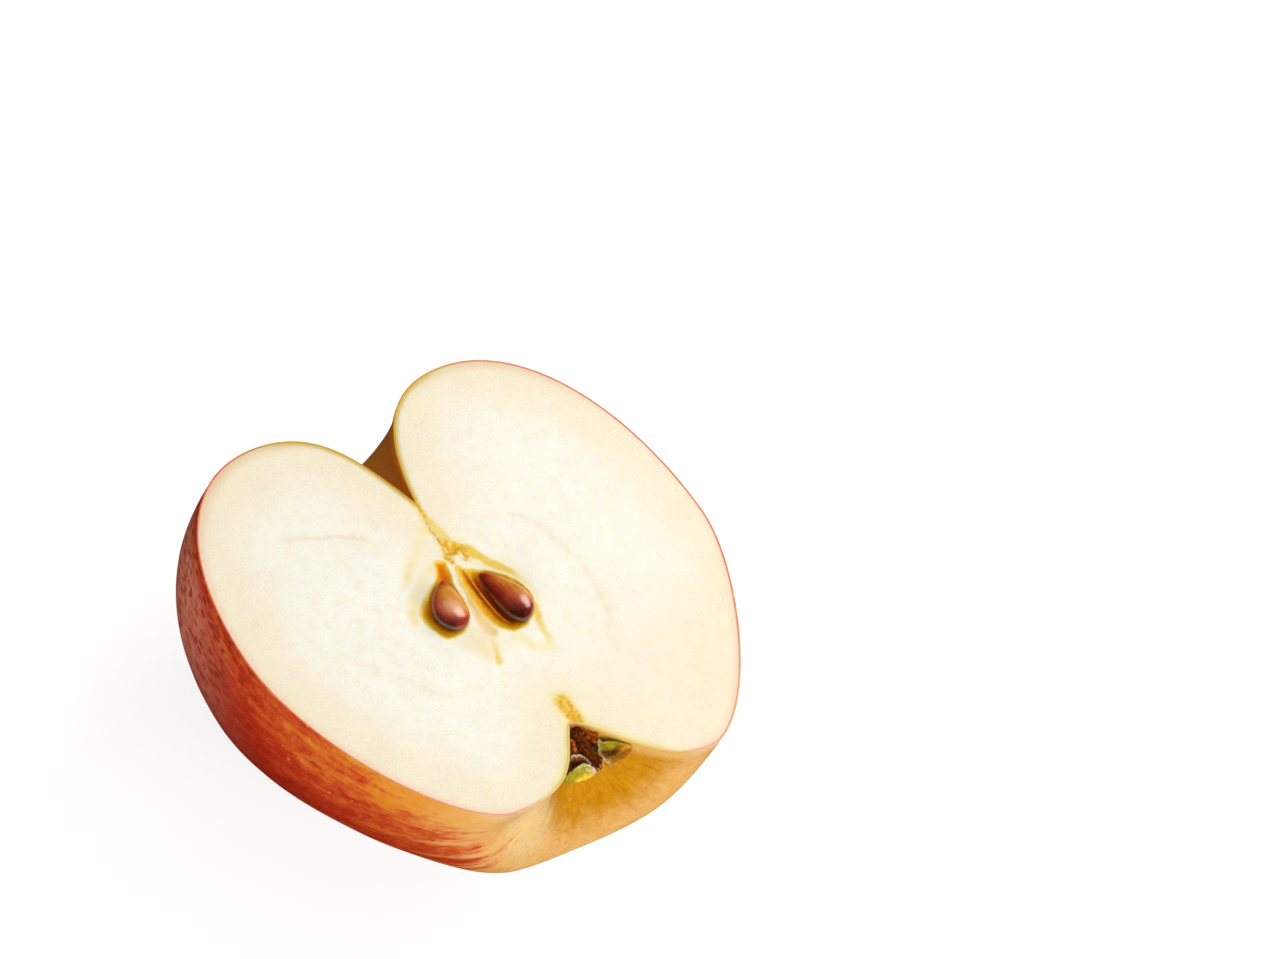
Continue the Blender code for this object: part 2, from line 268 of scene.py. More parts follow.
# ================================================================ node helpers
class Look:
    """A node material, built by short calls."""

    def __init__(self, name):
        self.material = bpy.data.materials.new(name)
        self.material.use_nodes = True
        self.tree = self.material.node_tree
        self.shader = self.tree.nodes["Principled BSDF"]

    def node(self, kind, **settings):
        n = self.tree.nodes.new(kind)
        for key, value in settings.items():
            setattr(n, key, value)
        return n

    def put(self, socket, value):
        if isinstance(value, bpy.types.NodeSocket):
            self.tree.links.new(value, socket)
        elif isinstance(value, tuple) and len(value) == 3 and socket.type == "RGBA":
            socket.default_value = (*value, 1)
        else:
            socket.default_value = value

    def attr(self, name, vector=False):
        n = self.node("ShaderNodeAttribute", attribute_name=name)
        return n.outputs["Vector" if vector else "Fac"]

    def math(self, op, a, b=0.0, c=0.0, clamp=False):
        n = self.node("ShaderNodeMath", operation=op, use_clamp=clamp)
        self.put(n.inputs[0], a)
        self.put(n.inputs[1], b)
        self.put(n.inputs[2], c)
        return n.outputs[0]

    def add(self, a, b):
        return self.math("ADD", a, b)

    def mul(self, a, b, clamp=False):
        return self.math("MULTIPLY", a, b, clamp=clamp)

    def step(self, lo, hi, x):
        n = self.node("ShaderNodeMapRange", interpolation_type="SMOOTHSTEP")
        self.put(n.inputs["Value"], x)
        self.put(n.inputs["From Min"], lo)
        self.put(n.inputs["From Max"], hi)
        return n.outputs[0]

    def mix(self, share, a, b, blend="MIX"):
        n = self.node("ShaderNodeMix", data_type="RGBA", blend_type=blend, clamp_factor=True)
        self.put(n.inputs[0], share)
        self.put(n.inputs[6], a)
        self.put(n.inputs[7], b)
        return n.outputs[2]

    def scaled(self, vector, by):
        n = self.node("ShaderNodeVectorMath", operation="MULTIPLY")
        self.put(n.inputs[0], vector)
        self.put(n.inputs[1], by)
        return n.outputs[0]

    def noise(self, vector, scale, detail=3.0, rough=0.55, warp=0.0):
        n = self.node("ShaderNodeTexNoise", noise_dimensions="3D")
        self.put(n.inputs["Vector"], vector)
        self.put(n.inputs["Scale"], scale)
        self.put(n.inputs["Detail"], detail)
        self.put(n.inputs["Roughness"], rough)
        self.put(n.inputs["Distortion"], warp)
        return n.outputs["Fac"]

    def cells(self, vector, scale, feature="F1", rand=1.0, output="Distance"):
        n = self.node("ShaderNodeTexVoronoi", feature=feature)
        self.put(n.inputs["Vector"], vector)
        self.put(n.inputs["Scale"], scale)
        self.put(n.inputs["Randomness"], rand)
        return n.outputs[output]

    def ramp(self, share, stops):
        n = self.node("ShaderNodeValToRGB")
        self.put(n.inputs[0], share)
        el = n.color_ramp.elements
        while len(el) > 1:
            el.remove(el[-1])
        for k, (at, colour) in enumerate(stops):
            e = el[0] if k == 0 else el.new(at)
            e.position = at
            e.color = (*colour, 1)
        return n.outputs[0]

    def bump(self, height, depth, strength=1.0, under=None):
        n = self.node("ShaderNodeBump")
        self.put(n.inputs["Height"], height)
        self.put(n.inputs["Distance"], depth)
        self.put(n.inputs["Strength"], strength)
        if under is not None:
            self.put(n.inputs["Normal"], under)
        return n.outputs[0]

    def set(self, **values):
        for key, value in values.items():
            self.put(self.shader.inputs[key.replace("_", " ")], value)
        return self.material


# ================================================================ flesh: marks and relief of the cut face
# Seed pockets, as the cut leaves them open: their outlines on the cut face.
POCKET_LEFT = smooth_loop([
    (-3.0, 6.6), (-2.4, 6.65), (-1.8, 6.1), (-1.9, 4.6), (-2.6, 3.0), (-2.75, 1.25), (-2.75, 0.0), (-3.1, -1.5), (-3.95, -2.8), (-5.1, -3.75),
    (-6.4, -4.05), (-7.6, -4.1), (-8.5, -3.8), (-9.15, -2.9), (-9.65, -1.5), (-9.85, -0.2), (-9.55, 0.8), (-8.45, 1.9), (-6.85, 2.9), (-5.2, 3.8), (-4.15, 4.7), (-3.5, 5.8),
], per=6)
POCKET_RIGHT = smooth_loop([
    (-0.38, 5.1), (0.2, 4.3), (1.1, 3.85), (2.0, 3.4), (3.0, 2.9), (4.3, 2.1), (5.4, 1.15), (6.35, 0.0), (6.8, -1.4), (6.95, -2.7),
    (6.35, -4.3), (5.2, -5.5), (3.8, -6.2), (2.5, -6.5), (1.0, -6.35), (-0.27, -5.3), (-0.85, -4.2), (-1.28, -3.0), (-1.42, -1.6), (-1.48, -0.2), (-1.38, 1.1), (-1.33, 2.2), (-1.1, 3.2), (-0.95, 4.2),
], per=6)
POCKET_DEPTH_LEFT, POCKET_DEPTH_RIGHT = 0.95, 1.2
LENS = smooth_loop([(-1.6, 4.4), (-1.28, 3.0), (-1.35, 1.2), (-1.5, -0.6), (-1.35, -2.8), (-0.8, -4.3), (-0.75, -5.6), (-1.5, -6.4), (-2.5, -6.0), (-3.15, -4.7),
    (-3.2, -3.4), (-2.9, -1.9), (-2.6, -0.4), (-2.3, 1.2), (-1.95, 2.9)], per=6)
LENS_TAIL = smooth_loop([(-3.9, -3.5), (-2.2, -4.6), (-0.9, -5.9), (-2.0, -7.1), (-2.35, -8.6), (-3.2, -9.95), (-4.2, -10.1), (-5.7, -9.0), (-6.8, -6.9), (-7.1, -5.2), (-5.7, -4.4)], per=6)
LENS_SHADE = smooth_path([(-1.9, -0.6), (-2.0, -2.4), (-1.95, -3.7), (-1.7, -4.9), (-1.4, -5.8)])
LENS_STAIN = smooth_path([(-2.0, -6.0), (-2.45, -6.6), (-2.85, -7.7), (-3.2, -8.8), (-3.55, -9.8)])
STAR = (0.65, 7.55)
STAR_ARMS = [[(-0.2, 8.1), (0.34, 7.55), (1.65, 7.6), (2.4, 7.2)], [(0.34, 7.55), (-0.5, 7.1), (-0.95, 6.6), (-0.7, 6.1)], [(1.65, 7.6), (1.9, 6.9), (1.65, 5.8)], [(0.2, 8.0), (0.35, 8.9)]]
STRAND = smooth_path([(-0.2, 8.3), (-0.43, 9.85), (-0.51, 10.8), (-0.42, 12.0), (-0.35, 13.1), (-0.05, 13.9), (0.05, 15.0), (0.0, 16.0)])
STRAND_2 = smooth_path([(1.62, 8.3), (1.25, 9.6), (1.2, 10.9), (0.9, 12.3), (0.3, 13.7)])
STRAND_BAND = smooth_path([(0.7, 8.2), (0.45, 9.7), (0.38, 10.8), (0.25, 12.2), (0.0, 13.4), (0.0, 14.6)])
CALYX_PATCH = smooth_path([(1.15, -18.5), (1.1, -19.6), (1.25, -20.7), (1.4, -21.7)])
RING_RIGHT = smooth_path([(1.2, 8.0), (1.95, 7.5), (2.75, 6.65), (3.5, 5.5), (4.2, 4.25), (5.15, 3.0), (6.15, 1.8), (6.9, 0.5), (7.4, -0.9)])
RING_SIDE = smooth_path([(7.3, -0.7), (7.6, -2.2), (7.3, -3.6), (6.5, -4.7)])
RING_LOW = smooth_path([(6.5, -4.3), (6.1, -5.3), (5.65, -6.4), (5.5, -7.8), (5.3, -9.2), (5.1, -10.0)])
RING_FOOT = smooth_path([(5.0, -10.3), (3.2, -10.2), (2.0, -8.9), (1.2, -7.3)])
RING_LEFT = smooth_path([(-0.8, 12.2), (-2.64, 10.9), (-4.42, 9.4), (-5.9, 8.0), (-8.1, 6.3), (-10.2, 4.1)])
RING_LEFT_IN = smooth_path([(-3.2, 6.5), (-5.4, 5.4), (-7.3, 4.2), (-9.2, 2.9), (-10.5, 1.5), (-11.1, 0.0), (-11.0, -1.6)])
CORE_LINE_LEFT = smooth_path([(-22.0, 17.4), (-19.0, 16.9), (-15.5, 16.0), (-12.0, 14.6), (-9.0, 12.6)])
CORE_LINE_RIGHT = smooth_path([(10.5, 10.4), (13.2, 8.4), (15.2, 5.3), (16.8, 0.8), (17.2, -3.0), (17.0, -5.9), (15.1, -10.2), (12.5, -13.6)])
CORE_LINE_LOW = smooth_path([(-12.0, -12.5), (-16.5, -9.0), (-19.8, -5.0), (-24.0, -1.4)])


def cut_face(xy, edge):
    """Height of the cut face at each point, and the masks its material is mixed with."""
    n = len(xy)
    p3 = np.column_stack([xy, np.zeros(n)])
    near = (np.abs(xy[:, 0]) < 14) & (xy[:, 1] > -24) & (xy[:, 1] < 18)
    masks = {k: np.zeros(n) for k in ("pocket", "yellow", "gold", "paper", "line", "pit")}
    height = np.zeros(n)
    q = xy[near]
    fine = wobble(q, 0.55, 3, 3.1)
    mid = wobble(q, 1.7, 3, 8.7)
    large = wobble(q, 5.0, 2, 1.3)
    jog = q + np.column_stack([wobble(q, 1.1, 2, 21.0), wobble(q, 1.1, 2, 33.0)]) * 0.13
    dl = inside_distance(jog, POCKET_LEFT)
    dr = inside_distance(jog, POCKET_RIGHT)
    # the pockets' walls are steep on the right and slope gently on the left
    wide_l = 1.2 + 2.2 * np.maximum(smooth(-4.2, -7.0, q[:, 0] + 0.25 * q[:, 1]), smooth(-1.6, -3.2, q[:, 1]))
    wide_r = 1.2 + 1.8 * np.maximum(smooth(2.6, 0.6, q[:, 0] + 0.25 * q[:, 1]), smooth(-3.6, -5.2, q[:, 1]))
    share_l, share_r = np.clip(dl / wide_l, 0, 1), np.clip(dr / wide_r, 0, 1)
    bowl_l = share_l ** np.interp(wide_l, [1.2, 3.4], [0.7, 1.6])
    bowl_r = share_r ** np.interp(wide_r, [1.2, 3.0], [0.7, 1.4])
    h = -POCKET_DEPTH_LEFT * bowl_l - POCKET_DEPTH_RIGHT * bowl_r
    edge_l = np.exp(-((np.minimum(dl, 0) / 0.30) ** 2)) * (dl < 0.05)
    edge_r = np.exp(-((np.minimum(dr, 0) / 0.30) ** 2)) * (dr < 0.05)
    h += 0.06 * np.maximum(edge_l, edge_r)
    pocket = np.maximum(smooth(-0.10, 0.30, dl), smooth(-0.10, 0.30, dr))
    # the papery lens between the pockets lies a little lower
    def band(line, wide, power=4):
        d, t = distance_to(jog, line)
        return np.exp(-((d / wide) ** power)), t

    d_lens = inside_distance(jog, LENS)
    shade, t = band(LENS_SHADE, 0.85, 2)
    paper = smooth(-0.25, 0.45, d_lens) * (0.42 + 0.58 * shade) * (1 - pocket)
    tail = smooth(-0.5, 0.7, inside_distance(jog, LENS_TAIL)) * (1 - pocket)
    paper = np.maximum(paper, 0.26 * tail)
    h -= 0.10 * smooth(0.0, 1.0, d_lens) * (1 - pocket)
    # golden star where the strands meet under the stem, the strands up to the stem and the patch over the calyx
    gold = np.zeros(len(q))
    for arm in STAR_ARMS:
        mark, t = band(np.array(arm, float), 0.72, 2)
        gold = np.maximum(gold, (1.35 - 0.45 * t) * mark)
    d_star = np.linalg.norm((jog - np.array(STAR)) / [1.5, 0.95], axis=1)
    gold = np.maximum(gold, 1.5 * np.exp(-(d_star**4)))
    mark, t = band(STRAND, 0.46, 2)
    gold = np.maximum(gold, (0.72 + 0.60 * np.abs(t - 0.45)) * mark)
    mark, t = band(STRAND_2, 0.30, 2)
    gold = np.maximum(gold, 0.42 * (1 - 0.5 * t) * mark)
    d, t = distance_to(jog, CALYX_PATCH)
    gold = np.maximum(gold, 0.94 * np.exp(-((d / (1.36 - 0.28 * t)) ** 4)))
    gold *= np.clip(0.84 + 0.60 * fine + 0.25 * mid, 0, 1.25)
    # yellow bands round the core
    yellow = np.zeros(len(q))
    patchy = np.clip(1 + 0.35 * mid, 0.3, 1.2)
    mark, t = band(RING_RIGHT, 0.86 + 0.12 * mid + 0.10 * fine, 3)
    yellow = np.maximum(yellow, mark * (0.98 - 0.50 * smooth(0.62, 1.0, t)) * np.clip(1 + 0.15 * mid, 0.3, 1.1))
    mark, t = band(RING_RIGHT - np.array([0.55, 0.75]), 0.95)
    yellow = np.maximum(yellow, 0.34 * mark)
    mark, t = band(RING_SIDE, 0.75)
    yellow = np.maximum(yellow, 0.36 * mark)
    mark, t = band(RING_LOW, 0.72 + 0.10 * mid)
    yellow = np.maximum(yellow, mark * (0.90 - 0.40 * t))
    mark, t = band(RING_FOOT, 1.1)
    yellow = np.maximum(yellow, 0.34 * mark * np.clip(1 + 0.8 * mid, 0.2, 1.3))
    mark, t = band(RING_LEFT, 0.95, 2)
    yellow = np.maximum(yellow, 0.46 * mark * smooth(1.02, 0.85, t) * patchy)
    mark, t = band(RING_LEFT_IN, 0.95)
    yellow = np.maximum(yellow, 0.44 * mark * smooth(1.02, 0.85, t) * patchy)
    d_core = np.linalg.norm((q - [-0.9, 0.2]) / [10.3, 10.2], axis=1)
    yellow = np.maximum(yellow, 0.20 * smooth(1.08, 0.80, d_core) * np.clip(0.9 + 0.7 * large, 0, 1.2))
    d, t = distance_to(jog, STRAND_BAND)
    yellow = np.maximum(yellow, 0.70 * np.exp(-((d / (1.10 - 0.60 * t)) ** 4)))
    yellow = np.maximum(yellow, 0.80 * np.exp(-(d_star**2) / 2.2))
    d, t = distance_to(jog, CALYX_PATCH)
    yellow = np.maximum(yellow, 0.80 * np.exp(-((d / 1.9) ** 2)))
    mark, t = band(LENS_STAIN, 0.62)
    yellow = np.maximum(yellow, (0.42 + 0.36 * t) * mark)
    yellow = np.maximum(yellow, 0.24 * tail * np.clip(1 + 0.8 * mid, 0, 1.5))
    yellow = np.maximum(yellow, 0.85 * np.exp(-((np.minimum(np.maximum(dl, dr), 0) / 0.38) ** 2)))
    # rough, pitted flesh on the star and the strands
    rough = np.clip(np.maximum(gold, 0.35 * yellow), 0, 1)
    h += rough * (0.13 * fine - 0.05)
    h -= 0.12 * np.exp(-((d_star / 0.6) ** 2))
    masks["pocket"][near], masks["gold"][near] = pocket, np.clip(gold, 0, 1)
    masks["yellow"][near], masks["paper"][near] = np.clip(yellow, 0, 1), paper
    masks["pit"][near] = np.maximum(share_l, share_r)
    height[near] = h
    # faint lines of the core's outer bounds, further out in the flesh
    jog2 = xy + np.column_stack([wobble(xy, 3.0, 2, 5.0), wobble(xy, 3.0, 2, 9.0)]) * 0.30
    line = np.zeros(n)
    for path, strength, wide in ((CORE_LINE_LEFT, 0.9, 0.30), (CORE_LINE_RIGHT, 0.6, 0.42), (CORE_LINE_LOW, 0.45, 0.40)):
        d, t = distance_to(jog2, path)
        line = np.maximum(line, strength * np.exp(-((d / wide) ** 2)) * smooth(0, 0.12, t) * smooth(1, 0.85, t))
        line = np.maximum(line, 0.30 * strength * np.exp(-((d / (wide * 3.2)) ** 2)) * smooth(0, 0.12, t) * smooth(1, 0.85, t))
    masks["line"] = line
    # soft waves that the knife left, and a rim that sinks a hair where the flesh meets the skin
    height += 0.05 * wobble(xy, 6.0, 2, 40.0) * smooth(0, 3, edge) - FLESH_DROP * smooth(1.2, 0.0, edge)
    height = np.minimum(height, 0.16)
    return height, masks


def flesh_piece():
    """The flesh: a cut face fanned from the core out to the skin, closed by an underside that follows the skin."""
    roots_y = np.concatenate([
        np.linspace(STEM_HOLLOW_FLOOR, 9.2, 30, endpoint=False),
        np.linspace(9.2, -7.6, 120, endpoint=False),
        np.linspace(-7.6, -15.5, 22, endpoint=False),
        np.linspace(-15.5, CALYX_FLOOR, 34),
    ])
    share = np.interp(roots_y[::-1], [CALYX_FLOOR, -19.6, -15.5, -7.6, -2, 4, 9.2, 13.5, STEM_HOLLOW_FLOOR], [4, 3.72, 3.12, 2.62, 2.24, 1.90, 1.42, 0.92, 0])[::-1]
    share = np.convolve(np.pad(share, 6, mode="edge"), np.ones(13) / 13, mode="valid")
    share[0], share[-1] = 0.0, 4.0
    share = np.maximum.accumulate(share)
    lines = len(share) - 2
    roots_y = roots_y[1:-1]
    along = share[1:-1]
    dense, sparse = 98, 30
    turns = np.concatenate([[0.0], np.linspace(0, math.pi, 45)[1:-1], [math.pi]])
    inset = np.full(lines, FLESH_INSET)
    points, faces = [], []
    points.append([(0, STEM_HOLLOW_FLOOR - FLESH_INSET, 0)])
    points.append([(0, CALYX_FLOOR + FLESH_INSET, 0)])
    roots = np.column_stack([np.zeros(lines), np.clip(roots_y, CALYX_FLOOR + 0.2, STEM_HOLLOW_FLOOR - 0.2), np.zeros(lines)])
    start = 2
    root_id = start + np.arange(lines)
    points.append(roots)
    start += lines
    grids = []
    ends = {}
    for side, turn in (("right", 0.0), ("left", math.pi)):
        rim = inset_skin(np.full(lines, turn), along, inset)
        length = np.linalg.norm(rim - roots, axis=1)
        near = np.minimum(12.0, 0.62 * length)
        j = np.arange(1, dense + 1)[None] / dense
        d1 = near[:, None] * j
        k = np.arange(1, sparse + 1)[None] / sparse
        growth = (k + 0.9 * k * k * (1.6 - k)) / (1 + 0.9 * 0.6)
        d2 = near[:, None] + (length - near)[:, None] * growth
        d = np.concatenate([d1, d2], 1) / length[:, None]
        grid = roots[:, None, :] + (rim - roots)[:, None, :] * d[..., None]
        ids = start + np.arange(lines * (dense + sparse)).reshape(lines, -1)
        points.append(grid.reshape(-1, 3))
        start += lines * (dense + sparse)
        full = np.column_stack([root_id, ids])
        grids.append(full)
        ends[side] = ids[:, -1]
        flip = side == "left"
        for r in range(lines - 1):
            a, b = full[r], full[r + 1]
            quads = np.column_stack([a[:-1], a[1:], b[1:], b[:-1]])
            faces += (quads[:, ::-1] if flip else quads).tolist()
        for row, pole, turned in ((full[0], 0, False), (full[-1], 1, True)):
            tris = np.column_stack([np.full(len(row) - 1, pole), row[1:], row[:-1]])
            faces += (tris[:, ::-1] if turned != flip else tris).tolist()
    top_count = start
    # underside
    inner = turns[1:-1]
    body = inset_skin(inner[None, :], along[:, None], FLESH_INSET + 1.1 * smooth(0.0, 0.22, np.sin(inner))[None, :] * smooth(0.0, 0.25, along)[:, None] * smooth(4.0, 3.8, along)[:, None] + np.zeros((lines, 1)))
    body[..., 2] = np.minimum(body[..., 2], -0.35)
    ids = start + np.arange(lines * len(inner)).reshape(lines, -1)
    points.append(body.reshape(-1, 3))
    full = np.column_stack([ends["right"], ids, ends["left"]])
    for r in range(lines - 1):
        a, b = full[r], full[r + 1]
        faces += np.column_stack([a[:-1], b[:-1], b[1:], a[1:]])[:, ::-1].tolist()
    for row, pole, turned in ((full[0], 0, False), (full[-1], 1, True)):
        tris = np.column_stack([np.full(len(row) - 1, pole), row[:-1], row[1:]])
        faces += (tris[:, ::-1] if turned else tris).tolist()
    points = np.concatenate([np.asarray(p, float) for p in points])
    # edge distance on the cut face
    outline = np.concatenate([
        inset_skin(np.full(300, t), np.linspace(0, 4, 300), np.full(300, FLESH_INSET))[:, :2] for t in (0.0, math.pi)
    ])
    top = points[:top_count, :2]
    edge = np.full(len(points), 0.0)
    rim_along = np.full(len(points), 2.0)
    rim_places = np.tile(np.linspace(0, 4, 300), 2)
    for k in range(0, top_count, 4000):
        chunk = top[k:k + 4000]
        gap = ((chunk[:, None] - outline[None]) ** 2).sum(-1)
        edge[k:k + len(chunk)] = np.sqrt(gap.min(1))
        rim_along[k:k + len(chunk)] = rim_places[gap.argmin(1)]
    height, masks = cut_face(top, edge[:top_count])
    flank = smooth(1.9, 0.1, edge[:top_count])
    masks["calyx_side"] = smooth(3.08, 3.35, rim_along[:top_count]) * flank
    masks["pink"] = smooth(0.95, 1.3, rim_along[:top_count]) * smooth(3.2, 3.0, rim_along[:top_count]) * smooth(1.5, 0.0, edge[:top_count]) * np.where(top[:, 0] < 0, 1.0, 0.75 * smooth(1.6, 2.6, rim_along[:top_count]) + 0.25)
    masks["warm"] = np.exp(-(np.linalg.norm((top - [19.0, -19.0]) / [13.0, 12.0], axis=1) ** 2))
    masks["notch"] = smooth(1.02, 0.80, rim_along[:top_count]) * smooth(0.95, 0.15, edge[:top_count])
    masks["shoulder"] = smooth(0.55, 0.9, rim_along[:top_count]) * smooth(1.75, 1.25, rim_along[:top_count]) * smooth(2.2, 0.2, edge[:top_count])
    rim_ids = np.concatenate([ends["right"], ends["left"], [0, 1]])
    height[rim_ids] = -FLESH_DROP
    points[:top_count, 2] += height
    obj = make_piece("flesh", points, faces, sharp=75)
    sharp_rim(obj, rim_ids)
    attribute(obj, "apple_mm", points)
    attribute(obj, "edge_mm", edge)
    tail = len(points) - top_count
    for key, value in masks.items():
        attribute(obj, key, np.concatenate([value, np.zeros(tail)]))
    return obj


def skin_piece():
    along = np.concatenate([
        np.linspace(0, 1, 47, endpoint=False)[1:] ** 1.1, 1 + np.linspace(0, 1, 56, endpoint=False), 2 + np.linspace(0, 1, 60, endpoint=False),
        3 + np.linspace(0, 1, 46, endpoint=False),
    ])
    rows = len(along)
    turns = np.linspace(0, math.pi, 216)
    cols = len(turns)
    T, A = np.meshgrid(turns, along)
    outer = inset_skin(T, A, np.zeros_like(T))
    # small dents and swells of the real skin, all inwards
    flat = outer.reshape(-1, 3)
    dent = 0.01 + 0.10 * (1 + wobble(flat, 9.0, 2, 2.0)).reshape(T.shape) * np.sin(T) ** 0.5
    outer = inset_skin(T, A, np.clip(dent, 0.01, 0.25))
    inner = inset_skin(T, A, np.clip(dent, 0.01, 0.25) + SKIN_THICK)
    points = np.concatenate([
        outer.reshape(-1, 3), inner.reshape(-1, 3),
        [(0, STEM_HOLLOW_FLOOR, 0), (0, CALYX_FLOOR, 0), (0, STEM_HOLLOW_FLOOR - SKIN_THICK, 0), (0, CALYX_FLOOR + SKIN_THICK, 0)],
    ])
    n = rows * cols
    o = np.arange(n).reshape(rows, cols)
    i = o + n
    po0, po1, pi0, pi1 = 2 * n, 2 * n + 1, 2 * n + 2, 2 * n + 3
    faces = []
    for r in range(rows - 1):
        faces += np.column_stack([o[r, :-1], o[r, 1:], o[r + 1, 1:], o[r + 1, :-1]]).tolist()
        faces += np.column_stack([i[r, :-1], i[r + 1, :-1], i[r + 1, 1:], i[r, 1:]]).tolist()
    faces += [[po0, o[0, c + 1], o[0, c]] for c in range(cols - 1)]
    faces += [[po1, o[-1, c], o[-1, c + 1]] for c in range(cols - 1)]
    faces += [[pi0, i[0, c], i[0, c + 1]] for c in range(cols - 1)]
    faces += [[pi1, i[-1, c + 1], i[-1, c]] for c in range(cols - 1)]
    for c, turned in ((0, False), (cols - 1, True)):
        a = [po0] + o[:, c].tolist() + [po1]
        b = [pi0] + i[:, c].tolist() + [pi1]
        for k in range(len(a) - 1):
            quad = [a[k], a[k + 1], b[k + 1], b[k]]
            faces.append(quad[::-1] if turned else quad)
    faces = [[int(v) for v in f] for f in faces]
    obj = make_piece("skin", points, faces, sharp=55)
    sharp_rim(obj, np.concatenate([o[:, 0], o[:, -1], [po0, po1]]))
    sharp_rim(obj, np.concatenate([i[:, 0], i[:, -1], [pi0, pi1]]))
    turn = np.concatenate([T.ravel(), T.ravel(), [0, 0, 0, 0]])
    al = np.concatenate([A.ravel(), A.ravel(), [0, 4, 0, 4]])
    attribute(obj, "turn", turn)
    attribute(obj, "along", al)
    attribute(obj, "apple_mm", points)
    attribute(obj, "inner", np.concatenate([np.zeros(n), np.ones(n), [0, 0, 1, 1]]))
    attribute(obj, "across", points[:, 0])
    attribute(obj, "depth", -points[:, 2])
    # how red: orange beside the cut and deep red below it, fading to the base and the basin
    deg = np.degrees(turn)
    deep = np.clip(-points[:, 2], 0, 14)
    left_side = smooth(70, 135, deg)
    red = 0.96 - 0.90 * smooth(2.0, 3.0, al) + (0.044 * (deep - 3) * smooth(3.12, 2.80, al) - 0.30 * np.exp(-deep / 3.0) * smooth(1.75, 2.05, al)) * left_side - 0.30 * (1 - left_side)
    red *= smooth(0.55, 1.15, al) * smooth(3.35, 3.05, al)
    # peach low on the flanks, partly the skin's own paler foot; its reach higher up on the right is painted light from
    # the key's side
    attribute(obj, "peach", smooth(2.50, 2.95, al + 0.35 * smooth(140, 60, deg)))
    # painted sheen: where a pale pink reflection is painted high on the left flank
    attribute(obj, "painted_sheen", smooth(0.80, 1.15, al) * smooth(2.12, 1.58, al - 0.012 * (deep - 5)) * smooth(0.3, 3.0, deep) * smooth(20, 12, -points[:, 2]) * smooth(120, 150, deg))
    attribute(obj, "soft_rim", smooth(70, 25, deg) * smooth(2.45, 2.75, al) * smooth(3.62, 3.40, al) + smooth(110, 150, deg) * smooth(2.75, 3.0, al) * smooth(3.75, 3.5, al))
    attribute(obj, "leftness", smooth(80, 120, deg))
    attribute(obj, "pale_foot", smooth(2.95, 3.15, al) * smooth(3.6, 3.4, al) * smooth(85, 115, deg))
    attribute(obj, "blush", red)
    return obj


